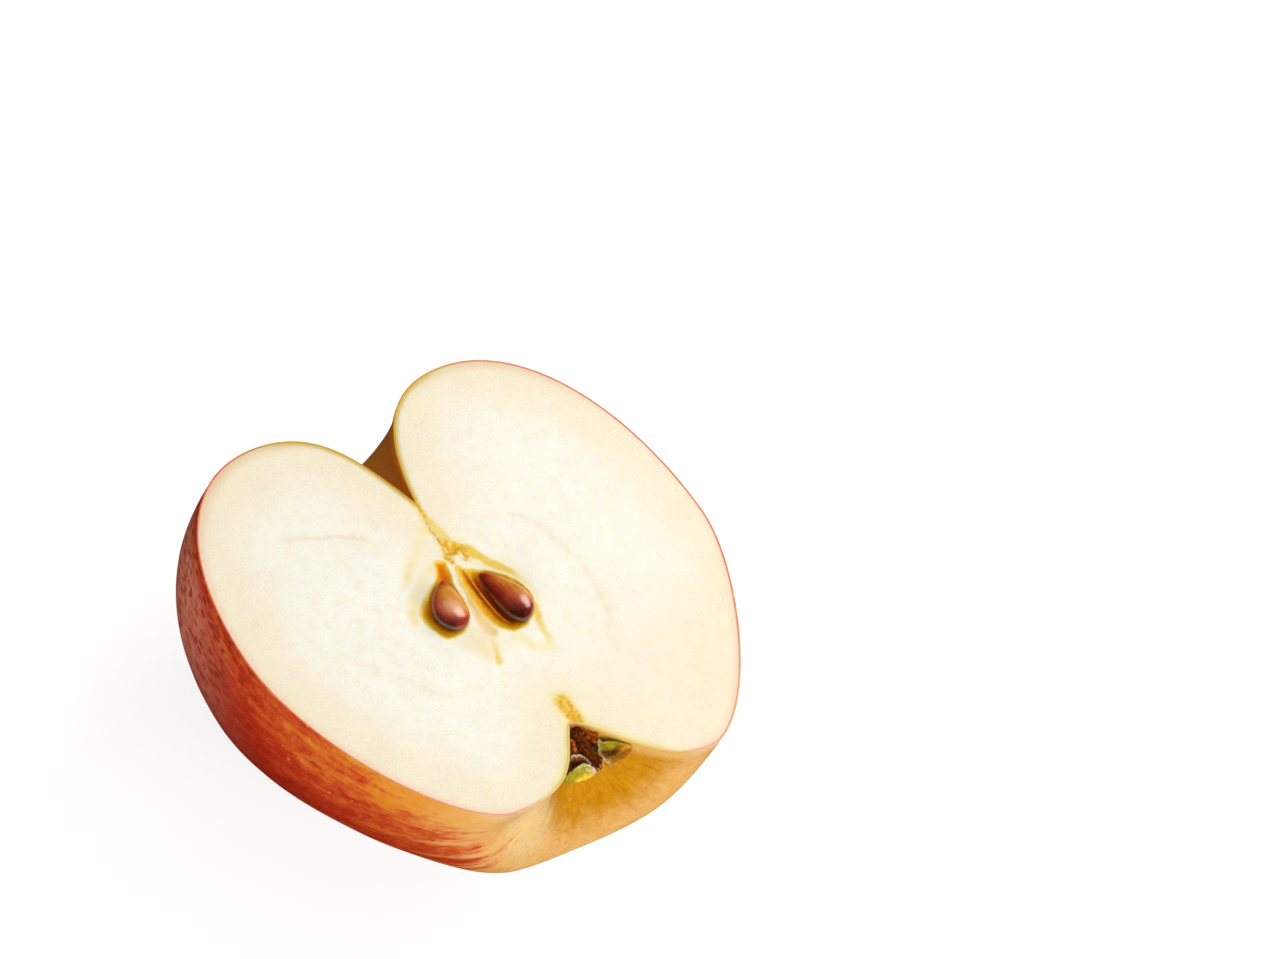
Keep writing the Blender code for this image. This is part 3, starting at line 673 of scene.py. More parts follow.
# ================================================================ materials
def flesh_look():
    m = Look("apple_flesh_cut")
    where = m.attr("apple_mm", vector=True)
    edge, pocket, yellow, gold = m.attr("edge_mm"), m.attr("pocket"), m.attr("yellow"), m.attr("gold")
    paper, line, pit = m.attr("paper"), m.attr("line"), m.attr("pit")
    notch, shoulder, calyx, pink = m.attr("notch"), m.attr("shoulder"), m.attr("calyx_side"), m.attr("pink")
    broad = m.noise(where, 0.09, 3, 0.6)
    mottle = m.noise(where, 0.55, 4, 0.65)
    grain = m.noise(where, 3.3, 3, 0.8)
    # cream, whiter towards the middle
    inward = m.add(m.step(0.0, 15.0, edge), m.mul(m.math("SUBTRACT", broad, 0.5), 0.9))
    colour = m.ramp(inward, [(0.0, srgb(247, 233, 204)), (0.30, srgb(249, 238, 214)), (0.70, srgb(251, 245, 227)), (1.0, srgb(252, 248, 233))])
    colour = m.mix(m.mul(m.step(0.44, 0.72, mottle), 0.30), colour, srgb(243, 226, 192))
    colour = m.mix(m.mul(m.step(0.50, 0.68, grain), 0.60), colour, srgb(255, 255, 250))
    colour = m.mix(m.mul(m.step(0.50, 0.34, grain), 0.42), colour, srgb(240, 220, 184))
    colour = m.mix(m.mul(m.attr("warm"), m.add(0.30, m.mul(mottle, 0.4))), colour, srgb(244, 226, 192))
    # colour that soaks in under the skin: pink on the flanks, tan round the shoulders, green-yellow beside the stem hollow
    colour = m.mix(m.mul(pink, 0.62), colour, srgb(250, 200, 166))
    colour = m.mix(m.mul(shoulder, 0.55), colour, srgb(228, 200, 150))
    colour = m.mix(m.mul(notch, 0.85), colour, srgb(214, 186, 46))
    colour = m.mix(m.mul(calyx, m.add(0.25, m.mul(m.step(0.4, 0.65, mottle), 0.40))), colour, srgb(244, 222, 150))
    colour = m.mix(m.mul(m.math("POWER", calyx, 3.0), 0.75), colour, srgb(240, 214, 96))
    # yellow bands, papery lens, lines
    colour = m.mix(m.mul(m.step(0.0, 0.5, yellow), 0.75), colour, srgb(248, 233, 180))
    colour = m.mix(m.mul(m.step(0.36, 0.92, yellow), m.add(0.70, m.mul(mottle, 0.5))), colour, srgb(236, 202, 62))
    colour = m.mix(m.mul(line, 0.45), colour, srgb(228, 200, 148))
    colour = m.mix(m.mul(paper, 0.92), colour, srgb(238, 206, 138))
    speck = m.step(0.40, 0.62, m.noise(where, 2.4, 4, 0.75))
    colour = m.mix(m.mul(gold, m.add(0.75, m.mul(speck, 0.6)), clamp=True), colour, srgb(234, 194, 30))
    colour = m.mix(m.mul(m.step(0.45, 0.90, gold), m.add(0.62, m.mul(speck, 0.38)), clamp=True), colour, srgb(230, 164, 4))
    bead = m.mul(m.step(0.66, 0.76, m.noise(where, 3.3, 2, 0.6)), m.step(0.35, 0.8, gold))
    colour = m.mix(m.mul(bead, 0.8), colour, srgb(252, 238, 214))
    # pocket walls: golden rim, amber below, brighter than the lining's own colour: painted light for the light that
    # comes through the flesh
    wall = m.ramp(m.add(pit, m.mul(m.math("SUBTRACT", mottle, 0.5), 0.25)), [(0.0, srgb(255, 206, 56)), (0.12, srgb(255, 182, 20)), (0.5, srgb(255, 160, 10)), (1.0, srgb(246, 122, 10))])
    colour = m.mix(pocket, colour, wall)
    fine = m.cells(where, 4.2, "SMOOTH_F1")
    bump = m.bump(m.add(m.mul(fine, 0.5), m.mul(grain, 0.8)), 0.00010, 0.42)
    bump = m.bump(m.noise(where, 11.0, 2, 0.6), 0.00003, 0.4, bump)
    m.set(Base_Color=colour, Roughness=m.add(0.36, m.mul(mottle, 0.22)), Normal=bump, Subsurface_Weight=m.add(0.35, m.mul(pocket, 0.62)),
          Subsurface_Radius=(0.0022, 0.0015, 0.0006), Subsurface_Scale=m.add(0.45, m.mul(pocket, 0.9)), IOR=1.34)
    return m.material


def skin_look():
    m = Look("apple_skin_streaked")
    where = m.attr("apple_mm", vector=True)
    turn, along, blush, inner = m.attr("turn"), m.attr("along"), m.attr("blush"), m.attr("inner")
    peach, painted_sheen, depth, across = m.attr("peach"), m.attr("painted_sheen"), m.attr("depth"), m.attr("across")
    flat = m.node("ShaderNodeCombineXYZ")
    m.put(flat.inputs[0], turn)
    m.put(flat.inputs[1], along)
    flat = flat.outputs[0]
    patch = m.noise(m.scaled(flat, (7.5, 2.8, 1.0)), 1.0, 5, 0.62, 0.25)
    streak = m.noise(m.scaled(flat, (21.0, 5.0, 1.0)), 1.0, 5, 0.68, 0.35)
    thin = m.noise(m.scaled(flat, (55.0, 12.0, 1.0)), 1.0, 4, 0.65, 0.3)
    hair = m.noise(m.scaled(flat, (30.0, 13.0, 1.0)), 1.0, 2, 0.5, 0.0)
    drops = m.cells(m.scaled(flat, (58.0, 26.0, 1.0)), 1.0)
    broad = m.noise(where, 0.06, 3, 0.5)
    mottle = m.noise(where, 0.7, 5, 0.7)
    grit = m.noise(where, 3.8, 3, 0.75)
    # ground colour: golden orange, peachy low on the flanks, deep gold in the calyx basin; the peach reaching higher up
    # on the right, the side the key light comes from, is partly painted light
    ground = m.mix(m.step(0.35, 0.65, broad), srgb(232, 142, 34), srgb(234, 156, 62))
    ground = m.mix(peach, ground, m.mix(m.step(0.35, 0.65, mottle), srgb(240, 178, 92), srgb(244, 190, 120)))
    ground = m.mix(m.mul(m.attr("pale_foot"), 0.75), ground, srgb(250, 214, 150))
    basin = m.step(3.08, 3.40, m.add(m.math("SUBTRACT", m.add(along, 0.06), m.mul(m.attr("leftness"), 0.26)), m.mul(m.math("SUBTRACT", patch, 0.5), 0.40)))
    ground = m.mix(basin, ground, m.mix(m.step(0.3, 0.7, m.add(m.mul(mottle, 0.5), m.mul(streak, 0.5))), srgb(188, 118, 0), srgb(214, 150, 14)))
    # red over it: a broad flush, broken into patches and streaks that run from stem to calyx
    rough = m.mul(m.math("SUBTRACT", patch, 0.5), 1.9)
    rough = m.add(rough, m.mul(m.math("SUBTRACT", streak, 0.5), 1.5))
    rough = m.add(rough, m.mul(m.math("SUBTRACT", thin, 0.5), 1.0))
    rough = m.add(rough, m.mul(m.math("SUBTRACT", mottle, 0.5), 1.2))
    redness = m.add(blush, m.mul(rough, m.step(3.5, 2.9, along)))
    colour = m.mix(m.step(0.10, 0.42, redness), ground, m.mix(peach, srgb(226, 118, 40), srgb(236, 150, 92)))
    colour = m.mix(m.step(0.38, 0.69, redness), colour, srgb(214, 84, 34))
    colour = m.mix(m.step(0.66, 1.00, redness), colour, srgb(196, 50, 22))
    colour = m.mix(m.mul(m.step(0.95, 1.5, redness), 0.85), colour, srgb(160, 30, 14))
    # painted sheen: a pale pink reflection painted high on the left flank, with small dark dashes in it
    colour = m.mix(m.mul(painted_sheen, m.add(0.46, m.mul(m.step(0.35, 0.65, mottle), 0.50))), colour, srgb(246, 154, 128))
    dash = m.mul(m.mul(m.step(0.50, 0.32, drops), m.step(0.40, 0.48, hair)), m.mul(m.step(1.1, 1.4, along), m.step(2.2, 1.9, along)), clamp=True)
    colour = m.mix(m.mul(dash, 0.80), colour, srgb(156, 34, 12))
    colour = m.mix(m.mul(m.step(0.52, 0.74, grit), 0.22), colour, srgb(240, 176, 110))
    colour = m.mix(m.mul(m.step(0.48, 0.28, grit), 0.20), colour, srgb(150, 60, 10))
    # pale dots
    dots = m.cells(where, 0.30)
    colour = m.mix(m.mul(m.step(0.105, 0.05, dots), 0.38), colour, srgb(236, 176, 96))
    # peach fading to cream where the right lobe turns under beside the cut, with pinkish stripes along it
    fade = m.mul(m.attr("soft_rim"), m.step(2.6, 0.1, m.add(depth, m.mul(m.math("SUBTRACT", mottle, 0.5), 1.2))))
    colour = m.mix(m.mul(fade, 0.85), colour, m.mix(m.step(0.45, 0.62, m.noise(m.scaled(flat, (50.0, 5.0, 1.0)), 1.0, 3, 0.6, 0.2)), srgb(250, 216, 168), srgb(246, 178, 142)))
    colour = m.mix(m.mul(m.mul(m.step(3.02, 3.22, along), m.step(3.0, 0.4, depth)), 0.75), colour, m.mix(m.step(0.35, 0.65, mottle), srgb(226, 176, 64), srgb(236, 184, 92)))
    # stem hollow: russet brown
    colour = m.mix(m.mul(m.step(1.30, 0.85, along), 0.6), colour, srgb(205, 160, 52))
    russet = m.step(0.98, 0.70, m.add(along, m.mul(m.math("SUBTRACT", mottle, 0.5), 0.35)))
    colour = m.mix(russet, colour, m.mix(m.noise(where, 1.4, 4, 0.7), srgb(204, 116, 20), srgb(236, 156, 56)))
    # calyx tube
    tube = m.step(3.66, 3.84, m.add(along, m.mul(m.math("SUBTRACT", mottle, 0.5), 0.14)))
    colour = m.mix(tube, colour, m.mix(m.step(0.36, 0.62, m.noise(where, 1.9, 4, 0.7)), srgb(110, 38, 6), srgb(196, 100, 26)))
    # specks and fine wrinkles round the calyx
    pits = m.mul(m.step(2.75, 3.15, along), m.step(0.60, 0.70, m.noise(m.scaled(flat, (34.0, 24.0, 1.0)), 1.0, 3, 0.6, 0.2)))
    colour = m.mix(m.mul(pits, 0.50), colour, srgb(178, 84, 10))
    # the cut edge of the skin is pinker and paler inwards
    colour = m.mix(m.mul(inner, m.step(0.9, 1.15, along)), colour, srgb(246, 140, 104))
    colour = m.mix(m.mul(inner, m.step(3.0, 3.2, along)), colour, srgb(248, 228, 160))
    colour = m.mix(m.mul(m.mul(m.step(3.2, 3.5, along), m.step(0.7, 0.0, depth)), 0.7), colour, srgb(232, 192, 96))
    colour = m.mix(m.mul(inner, m.step(1.15, 0.95, along)), colour, srgb(205, 172, 40))
    bump = m.bump(m.noise(where, 1.3, 4, 0.6), 0.00012, 0.5)
    bump = m.bump(m.noise(where, 3.4, 2, 0.5), 0.00003, 0.5, bump)
    wrinkle = m.mul(m.noise(m.scaled(flat, (60.0, 10.0, 1.0)), 1.0, 3, 0.6, 0.3), m.step(2.9, 3.4, along))
    bump = m.bump(wrinkle, 0.0002, 0.5, bump)
    m.set(Base_Color=colour, Roughness=m.add(0.40, m.mul(mottle, 0.18)), Normal=bump, Subsurface_Weight=0.10,
          Subsurface_Radius=(0.0018, 0.0007, 0.0004), Subsurface_Scale=1.0, IOR=1.40, Specular_IOR_Level=0.30)
    return m.material


def pip_look():
    m = Look("apple_pip_gloss")
    where, t, painted_light = m.attr("local_mm", vector=True), m.attr("t"), m.attr("painted_light")
    fibre = m.noise(m.scaled(where, (3.4, 0.45, 3.4)), 1.0, 4, 0.62, 0.2)
    cloud = m.noise(where, 0.55, 3, 0.6)
    # the colour follows each pip's painted light and shade, broken up by clouds and fibres
    warm = m.add(painted_light, m.mul(m.math("SUBTRACT", cloud, 0.5), 0.5))
    warm = m.add(warm, m.mul(m.math("SUBTRACT", fibre, 0.5), 0.35))
    colour = m.ramp(warm, [(0.0, srgb(58, 12, 3)), (0.28, srgb(112, 24, 7)), (0.50, srgb(164, 44, 14)), (0.72, srgb(202, 86, 24)), (1.0, srgb(236, 156, 34))])
    colour = m.mix(m.mul(m.step(0.10, 0.0, t), 0.6), colour, srgb(140, 66, 44))
    # pale patch on the left pip: partly dust, partly a painted highlight
    dust_and_highlight = m.mul(m.attr("dust_and_highlight"), m.add(0.30, m.mul(m.step(0.35, 0.65, m.noise(where, 3.6, 3, 0.75)), 0.5)))
    colour = m.mix(dust_and_highlight, colour, srgb(246, 190, 150))
    m.set(Base_Color=colour, Roughness=m.add(0.19, m.add(m.mul(fibre, 0.08), m.mul(m.attr("dust_and_highlight"), 0.10))), Normal=m.bump(fibre, 0.00006, 0.5), IOR=1.60,
          Subsurface_Weight=0.08, Subsurface_Radius=(0.0012, 0.0004, 0.0002), Subsurface_Scale=1.0, Specular_IOR_Level=1.0)
    return m.material


def sepal_look():
    m = Look("calyx_leaf_dry")
    where, rim, shade, fuzz = m.attr("apple_mm", vector=True), m.attr("rim"), m.attr("brown_and_shade"), m.attr("fuzz")
    gild = m.attr("gild")
    blotch = m.noise(where, 1.3, 4, 0.65)
    fibre = m.noise(where, 4.0, 3, 0.7)
    colour = m.mix(m.step(0.35, 0.7, blotch), srgb(148, 134, 14), srgb(178, 160, 30))
    colour = m.mix(gild, colour, m.mix(m.step(0.4, 0.6, blotch), srgb(220, 176, 26), srgb(238, 206, 60)))
    colour = m.mix(m.attr("ochre"), colour, m.mix(m.step(0.4, 0.6, blotch), srgb(196, 126, 10), srgb(222, 160, 40)))
    # pale hairy edges; the thin pale band across the left leaf is a painted highlight
    colour = m.mix(m.mul(rim, m.step(0.45, 0.65, fibre)), colour, srgb(248, 232, 190))
    # painted shade with the leaves' own brown: dark brown in the hollows and under the rims, where shade falls
    colour = m.mix(m.mul(shade, m.step(0.20, 0.50, m.add(blotch, m.mul(shade, 0.3)))), colour, m.mix(m.step(0.4, 0.6, fibre), srgb(88, 40, 6), srgb(150, 82, 16)))
    colour = m.mix(m.mul(fuzz, m.step(0.36, 0.58, fibre)), colour, m.mix(m.step(0.4, 0.6, blotch), srgb(168, 130, 128), srgb(238, 208, 190)))
    m.set(Base_Color=colour, Roughness=0.6, Normal=m.bump(m.add(blotch, m.mul(fibre, 0.5)), 0.00014, 0.8))
    return m.material


def stamen_look():
    m = Look("stamens_withered")
    where = m.attr("apple_mm", vector=True)
    fibre = m.noise(where, 2.2, 4, 0.7)
    colour = m.mix(m.step(0.40, 0.72, fibre), srgb(72, 26, 2), srgb(136, 70, 16))
    colour = m.mix(m.mul(m.attr("fuzz"), m.step(0.45, 0.7, fibre)), colour, srgb(196, 150, 130))
    m.set(Base_Color=colour, Roughness=0.75, Normal=m.bump(fibre, 0.0001, 0.6), Specular_IOR_Level=0.05)
    return m.material


def scale_look():
    m = Look("calyx_tube_scales")
    where = m.attr("apple_mm", vector=True)
    blotch = m.noise(where, 1.7, 4, 0.7)
    colour = m.mix(m.step(0.38, 0.60, blotch), srgb(120, 44, 6), srgb(196, 88, 20))
    colour = m.mix(m.mul(m.step(0.58, 0.72, blotch), 0.7), colour, srgb(214, 138, 40))
    m.set(Base_Color=colour, Roughness=0.55, Normal=m.bump(blotch, 0.00025, 0.9), Specular_IOR_Level=0.3)
    return m.material


def lining_look():
    m = Look("papery_core_lining")
    where, t = m.attr("apple_mm", vector=True), m.attr("t")
    fibre = m.noise(m.scaled(where, (2.6, 0.6, 2.0)), 1.0, 4, 0.65)
    colour = m.mix(m.step(0.3, 0.7, fibre), srgb(176, 94, 16), srgb(228, 160, 56))
    colour = m.mix(m.step(0.55, 0.1, t), colour, srgb(222, 168, 70))
    m.set(Base_Color=colour, Roughness=0.35, Normal=m.bump(fibre, 0.00008, 0.6), Subsurface_Weight=0.2,
          Subsurface_Radius=(0.001, 0.0006, 0.0003), Subsurface_Scale=1.0)
    return m.material


# ================================================================ small pieces
def turn_about(axis, degrees):
    return np.array(Matrix.Rotation(math.radians(degrees), 3, axis))


def pip_piece(side, middle, long, wide, thick, lean, tip, roll, point, blunt, skew):
    """A seed: pointed at its stem end, round at the other, flatter underneath."""
    rings, spokes = 84, 72
    t = (1 - np.cos(np.linspace(0, math.pi, rings + 1)))[1:-1] / 2
    a = np.linspace(0, 2 * math.pi, spokes, endpoint=False)
    T, A = np.meshgrid(t, a, indexing="ij")
    swell = T ** (0.80 * point) * np.sqrt(np.clip(1 - T**blunt, 0, 1))
    swell /= swell.max()
    x = swell * np.cos(A) * wide / 2 * (1 + 0.05 * np.sin(A))
    lift = np.where(np.sin(A) > 0, 0.96, 0.80)
    crest = (0.66 + 0.62 * T) * swell**0.92  # thickest nearer the round end
    z = crest / crest.max() * np.sin(A) * thick / 2 * lift
    x = x + skew * wide * (T - 0.5) * (1 - T) * 2
    y = long * (0.56 - T)
    local = np.stack([x, y, z], -1).reshape(-1, 3)
    local = np.vstack([local, [[0, long * 0.56, 0], [0, long * (0.56 - 1), 0]]])
    local[:-2] *= 1 + 0.012 * wobble(local[:-2] + (3 if side == "left" else 9), 2.2, 2)[:, None]
    spin = turn_about("Z", -lean) @ turn_about("X", -tip) @ turn_about("Y", roll)
    points = local @ spin.T + np.array(middle)
    ids = np.arange(T.size).reshape(T.shape)
    faces = []
    for r in range(T.shape[0] - 1):
        for c in range(spokes):
            d = (c + 1) % spokes
            faces.append([int(ids[r, c]), int(ids[r + 1, c]), int(ids[r + 1, d]), int(ids[r, d])])
    top, end = T.size, T.size + 1
    for c in range(spokes):
        d = (c + 1) % spokes
        faces.append([top, int(ids[0, c]), int(ids[0, d])])
        faces.append([end, int(ids[-1, d]), int(ids[-1, c])])
    obj = make_piece(f"seed_{side}", points, faces)
    attribute(obj, "local_mm", local)
    attribute(obj, "t", np.concatenate([T.ravel(), [0, 1]]))
    # painted light and shade with the coat's translucency: lighter and more orange on the right and upper faces, which
    # turn to the key light, darker along the left, at the blunt end and towards the point, which lie in shade
    base, swing, aim = (0.44, 0.64, 70) if side == "left" else (0.48, 0.56, 28)
    key_facing = np.cos(A - math.radians(aim))
    painted_light = base + swing * key_facing * np.sin(math.pi * np.clip(T, 0.03, 0.97)) ** 0.4 - 0.42 * smooth(0.62, 0.95, T) - 0.18 * smooth(0.22, 0.0, T)
    # dust and painted highlight: a pale patch on the left pip where its shine falls, partly dust on the coat and partly
    # a painted highlight
    dusty_highlight = np.exp(-(((T - 0.66) / 0.17) ** 2) - ((A - math.radians(96)) / math.radians(32)) ** 2) * (1.0 if side == "left" else 0.10)
    attribute(obj, "dust_and_highlight", np.concatenate((dusty_highlight.ravel(), [0.0, 0.0])))
    attribute(obj, "painted_light", np.concatenate([painted_light.ravel(), [0.3, 0.15]]))
    return obj


def leaf_piece(name, rim, hollow, sink, thick=0.22, rings=22, spokes=96, seed=0.0):
    """A dried sepal: a cupped leaf inside a rim through the named points, with crinkles, made a fifth of a millimetre thick."""
    loop = smooth_loop(rim, per=spokes // len(rim))
    m = len(loop)
    middle = np.array(hollow, float)
    r = np.linspace(0, 1, rings + 1)[1:]
    grid = middle + (loop[None] - middle) * r[:, None, None]
    grid += np.array(sink) * (1 - r**2.2)[:, None, None]
    flat = grid.reshape(-1, 3)
    crinkle = wobble(flat, 1.1, 3, seed) * 0.22 + wobble(flat, 0.45, 2, seed + 5) * 0.07
    away = -np.array(sink) / np.linalg.norm(sink)
    frill = 0.16 * np.sin(np.arange(m) / m * 2 * math.pi * 9 + seed)[None, :] * (r**4)[:, None]
    flat = flat + away * (crinkle.reshape(-1, 1) + frill.reshape(-1, 1))
    centre = middle + np.array(sink)
    top = np.vstack([flat, centre[None]])
    taper = np.concatenate([np.repeat(thick * (1 - 0.55 * r**3), m), [thick]])
    low = top - away * taper[:, None]
    n = len(top)
    ids = np.arange(rings * m).reshape(rings, m)
    faces = []
    for k in range(rings - 1):
        for c in range(m):
            d = (c + 1) % m
            faces.append([int(ids[k, c]), int(ids[k + 1, c]), int(ids[k + 1, d]), int(ids[k, d])])
            faces.append([int(ids[k, c]) + n, int(ids[k, d]) + n, int(ids[k + 1, d]) + n, int(ids[k + 1, c]) + n])
    for c in range(m):
        d = (c + 1) % m
        faces.append([n - 1, int(ids[0, c]), int(ids[0, d])])
        faces.append([2 * n - 1, int(ids[0, d]) + n, int(ids[0, c]) + n])
        faces.append([int(ids[-1, c]), int(ids[-1, c]) + n, int(ids[-1, d]) + n, int(ids[-1, d])])
    points = np.vstack([top, low])
    obj = make_piece(name, points, faces, sharp=80)
    radius = np.concatenate([np.repeat(r, m), [0.0]])
    attribute(obj, "apple_mm", points)
    attribute(obj, "rim", np.tile(smooth(0.72, 0.98, radius), 2))
    return obj, np.tile(radius, 2), points


def sheet_leaf(name, lines, thick=0.20, seed=0.0):
    """A dried sepal as a folded sheet through a few named lines, each from one end of the leaf to the other."""
    count, steps = 57, 33
    cross = []
    for line in lines:
        path = smooth_path(line, per=12)
        at = np.linspace(0, 1, len(path))
        cross.append(np.column_stack([np.interp(np.linspace(0, 1, count), at, path[:, k]) for k in range(3)]))
    cross = np.array(cross)
    rows = []
    for c in range(count):
        path = smooth_path(cross[:, c], per=12)
        run = np.concatenate([[0], np.cumsum(np.linalg.norm(np.diff(path, axis=0), axis=1))])
        run /= run[-1]
        rows.append(np.column_stack([np.interp(np.linspace(0, 1, steps), run, path[:, k]) for k in range(3)]))
    grid = np.array(rows)
    u = np.gradient(grid, axis=0)
    v = np.gradient(grid, axis=1)
    normal = np.cross(u, v)
    normal /= np.maximum(np.linalg.norm(normal, axis=-1, keepdims=True), 1e-9)
    flat = grid.reshape(-1, 3)
    crinkle = (0.16 * wobble(flat, 1.0, 3, seed) + 0.06 * wobble(flat, 0.4, 2, seed + 5)).reshape(count, steps)
    grid = grid + normal * crinkle[..., None]
    w = np.linspace(0, 1, steps)[None] * np.ones((count, 1))
    x = np.linspace(0, 1, count)[:, None] * np.ones((1, steps))
    thin = thick * (0.35 + 0.65 * np.sqrt(np.clip(4 * w * (1 - w), 0, 1)))
    top = (grid + normal * thin[..., None] / 2).reshape(-1, 3)
    low = (grid - normal * thin[..., None] / 2).reshape(-1, 3)
    n = count * steps
    ids = np.arange(n).reshape(count, steps)
    faces = []
    for r in range(count - 1):
        for c in range(steps - 1):
            faces.append([int(k) for k in (ids[r, c], ids[r + 1, c], ids[r + 1, c + 1], ids[r, c + 1])])
            faces.append([int(k) + n for k in (ids[r, c], ids[r, c + 1], ids[r + 1, c + 1], ids[r + 1, c])])
        faces.append([int(ids[r, 0]), int(ids[r, 0]) + n, int(ids[r + 1, 0]) + n, int(ids[r + 1, 0])])
        faces.append([int(ids[r, -1]), int(ids[r + 1, -1]), int(ids[r + 1, -1]) + n, int(ids[r, -1]) + n])
    for c in range(steps - 1):
        faces.append([int(ids[0, c]), int(ids[0, c + 1]), int(ids[0, c + 1]) + n, int(ids[0, c]) + n])
        faces.append([int(ids[-1, c]), int(ids[-1, c]) + n, int(ids[-1, c + 1]) + n, int(ids[-1, c + 1])])
    points = np.vstack([top, low])
    obj = make_piece(name, points, faces, sharp=80)
    attribute(obj, "apple_mm", points)
    return obj, np.tile(x.ravel(), 2), np.tile(w.ravel(), 2), points


def thread(path, radius, sides=7):
    """A thin round thread along a path: its points and faces."""
    path = np.asarray(path, float)
    n = len(path)
    radius = np.broadcast_to(radius, n)
    tangent = np.gradient(path, axis=0)
    tangent /= np.linalg.norm(tangent, axis=1, keepdims=True)
    side = np.cross(tangent, [0.31, 0.11, 0.94])
    side /= np.linalg.norm(side, axis=1, keepdims=True)
    other = np.cross(tangent, side)
    a = np.linspace(0, 2 * math.pi, sides, endpoint=False)
    ring = np.cos(a)[None, :, None] * side[:, None] + np.sin(a)[None, :, None] * other[:, None]
    points = (path[:, None] + ring * radius[:, None, None]).reshape(-1, 3)
    faces = []
    for k in range(n - 1):
        for c in range(sides):
            d = (c + 1) % sides
            faces.append([k * sides + c, k * sides + d, (k + 1) * sides + d, (k + 1) * sides + c])
    faces.append(list(range(sides))[::-1])
    faces.append([(n - 1) * sides + c for c in range(sides)])
    return points, faces


def stamen_piece():
    """Withered stamens: a bundle of thin threads from the floor of the calyx tube, splayed at their ends."""
    spine = smooth_path([(1.15, -22.3, -0.95), (0.72, -22.96, -1.05), (0.52, -23.97, -1.2), (0.78, -25.15, -1.4), (1.2, -26.34, -1.65), (1.35, -27.44, -1.95), (1.15, -28.3, -2.25)], per=4)
    at = np.linspace(0, 1, len(spine))
    spread_at = np.interp(at, [0, 0.12, 0.35, 0.50, 0.68, 0.86, 1.0], [0.45, 0.78, 0.86, 0.80, 0.52, 0.62, 0.70])
    points, faces, fuzz = [], [], []
    count = 0
    for k in range(44):
        g = k * 2.399963
        reach = math.sqrt((k + 0.5) / 44)
        stop = len(spine) - int(6 * math.fmod(k * 0.618, 1.0) ** 2)
        turn = g + 0.9 * at
        path = spine + np.column_stack([np.cos(turn) * 1.05, 0.10 * np.sin(3 * turn), 0.62 * np.sin(turn)]) * (reach * spread_at)[:, None]
        path = path + 0.07 * np.column_stack([np.sin(17 * at + k), 0 * at, np.cos(15 * at + 2 * k)])
        if k % 11 == 3:  # a few stand away to the right
            path = path + np.outer(smooth(0.45, 1.0, at), [1.3, 0.35, 0.1])
        path = path[:stop]
        thick = (0.17 - 0.05 * at[:stop]) * (0.8 + 0.4 * math.fmod(k * 0.414, 1.0))
        thick[-2:] *= 1.5
        p, f = thread(path, thick)
        points.append(p)
        faces += [[v + count for v in q] for q in f]
        count += len(p)
        fuzz.append(np.repeat(smooth(0.86, 1.0, at[:stop]), 7))
    points = np.vstack(points)
    obj = make_piece("stamen_threads", points, faces)
    attribute(obj, "apple_mm", points)
    attribute(obj, "fuzz", np.concatenate(fuzz))
    return obj


def scales_piece():
    """Small dry scales and lumps on the wall of the calyx tube."""
    points, faces, count = [], [], 0
    lumps = [
        ((2.15, -22.65, -0.95), (0.62, 0.50, 0.55)), ((2.75, -23.35, -1.05), (0.60, 0.52, 0.50)), ((3.25, -24.1, -0.95), (0.58, 0.42, 0.45)),
        ((2.35, -23.7, -1.75), (0.62, 0.60, 0.50)), ((2.95, -24.6, -1.75), (0.60, 0.52, 0.50)), ((1.95, -24.6, -2.3), (0.60, 0.60, 0.50)),
        ((-0.75, -23.9, -0.95), (0.42, 0.62, 0.45)), ((-0.95, -24.75, -1.15), (0.40, 0.48, 0.45)),
    ]
    rings, spokes = 16, 28
    t = np.linspace(0, math.pi, rings + 1)[1:-1]
    a = np.linspace(0, 2 * math.pi, spokes, endpoint=False)
    T, A = np.meshgrid(t, a, indexing="ij")
    ball = np.stack([np.sin(T) * np.cos(A), np.sin(T) * np.sin(A), np.cos(T)], -1).reshape(-1, 3)
    ball = np.vstack([ball, [[0, 0, 1], [0, 0, -1]]])
    ids = np.arange(T.size).reshape(T.shape)
    for k, (middle, size) in enumerate(lumps):
        p = ball * np.array(size) * (1 + 0.30 * wobble(ball * 0.6, 0.8, 3, 4.0 + 3.7 * k))[:, None] + np.array(middle)
        points.append(p)
        for r in range(T.shape[0] - 1):
            for c in range(spokes):
                d = (c + 1) % spokes
                faces.append([int(ids[r, c]) + count, int(ids[r + 1, c]) + count, int(ids[r + 1, d]) + count, int(ids[r, d]) + count])
        for c in range(spokes):
            d = (c + 1) % spokes
            faces.append([T.size + count, int(ids[0, c]) + count, int(ids[0, d]) + count])
            faces.append([T.size + 1 + count, int(ids[-1, d]) + count, int(ids[-1, c]) + count])
        count += len(p)
    points = np.vstack(points)
    obj = make_piece("calyx_scales", points, faces)
    attribute(obj, "apple_mm", points)
    return obj


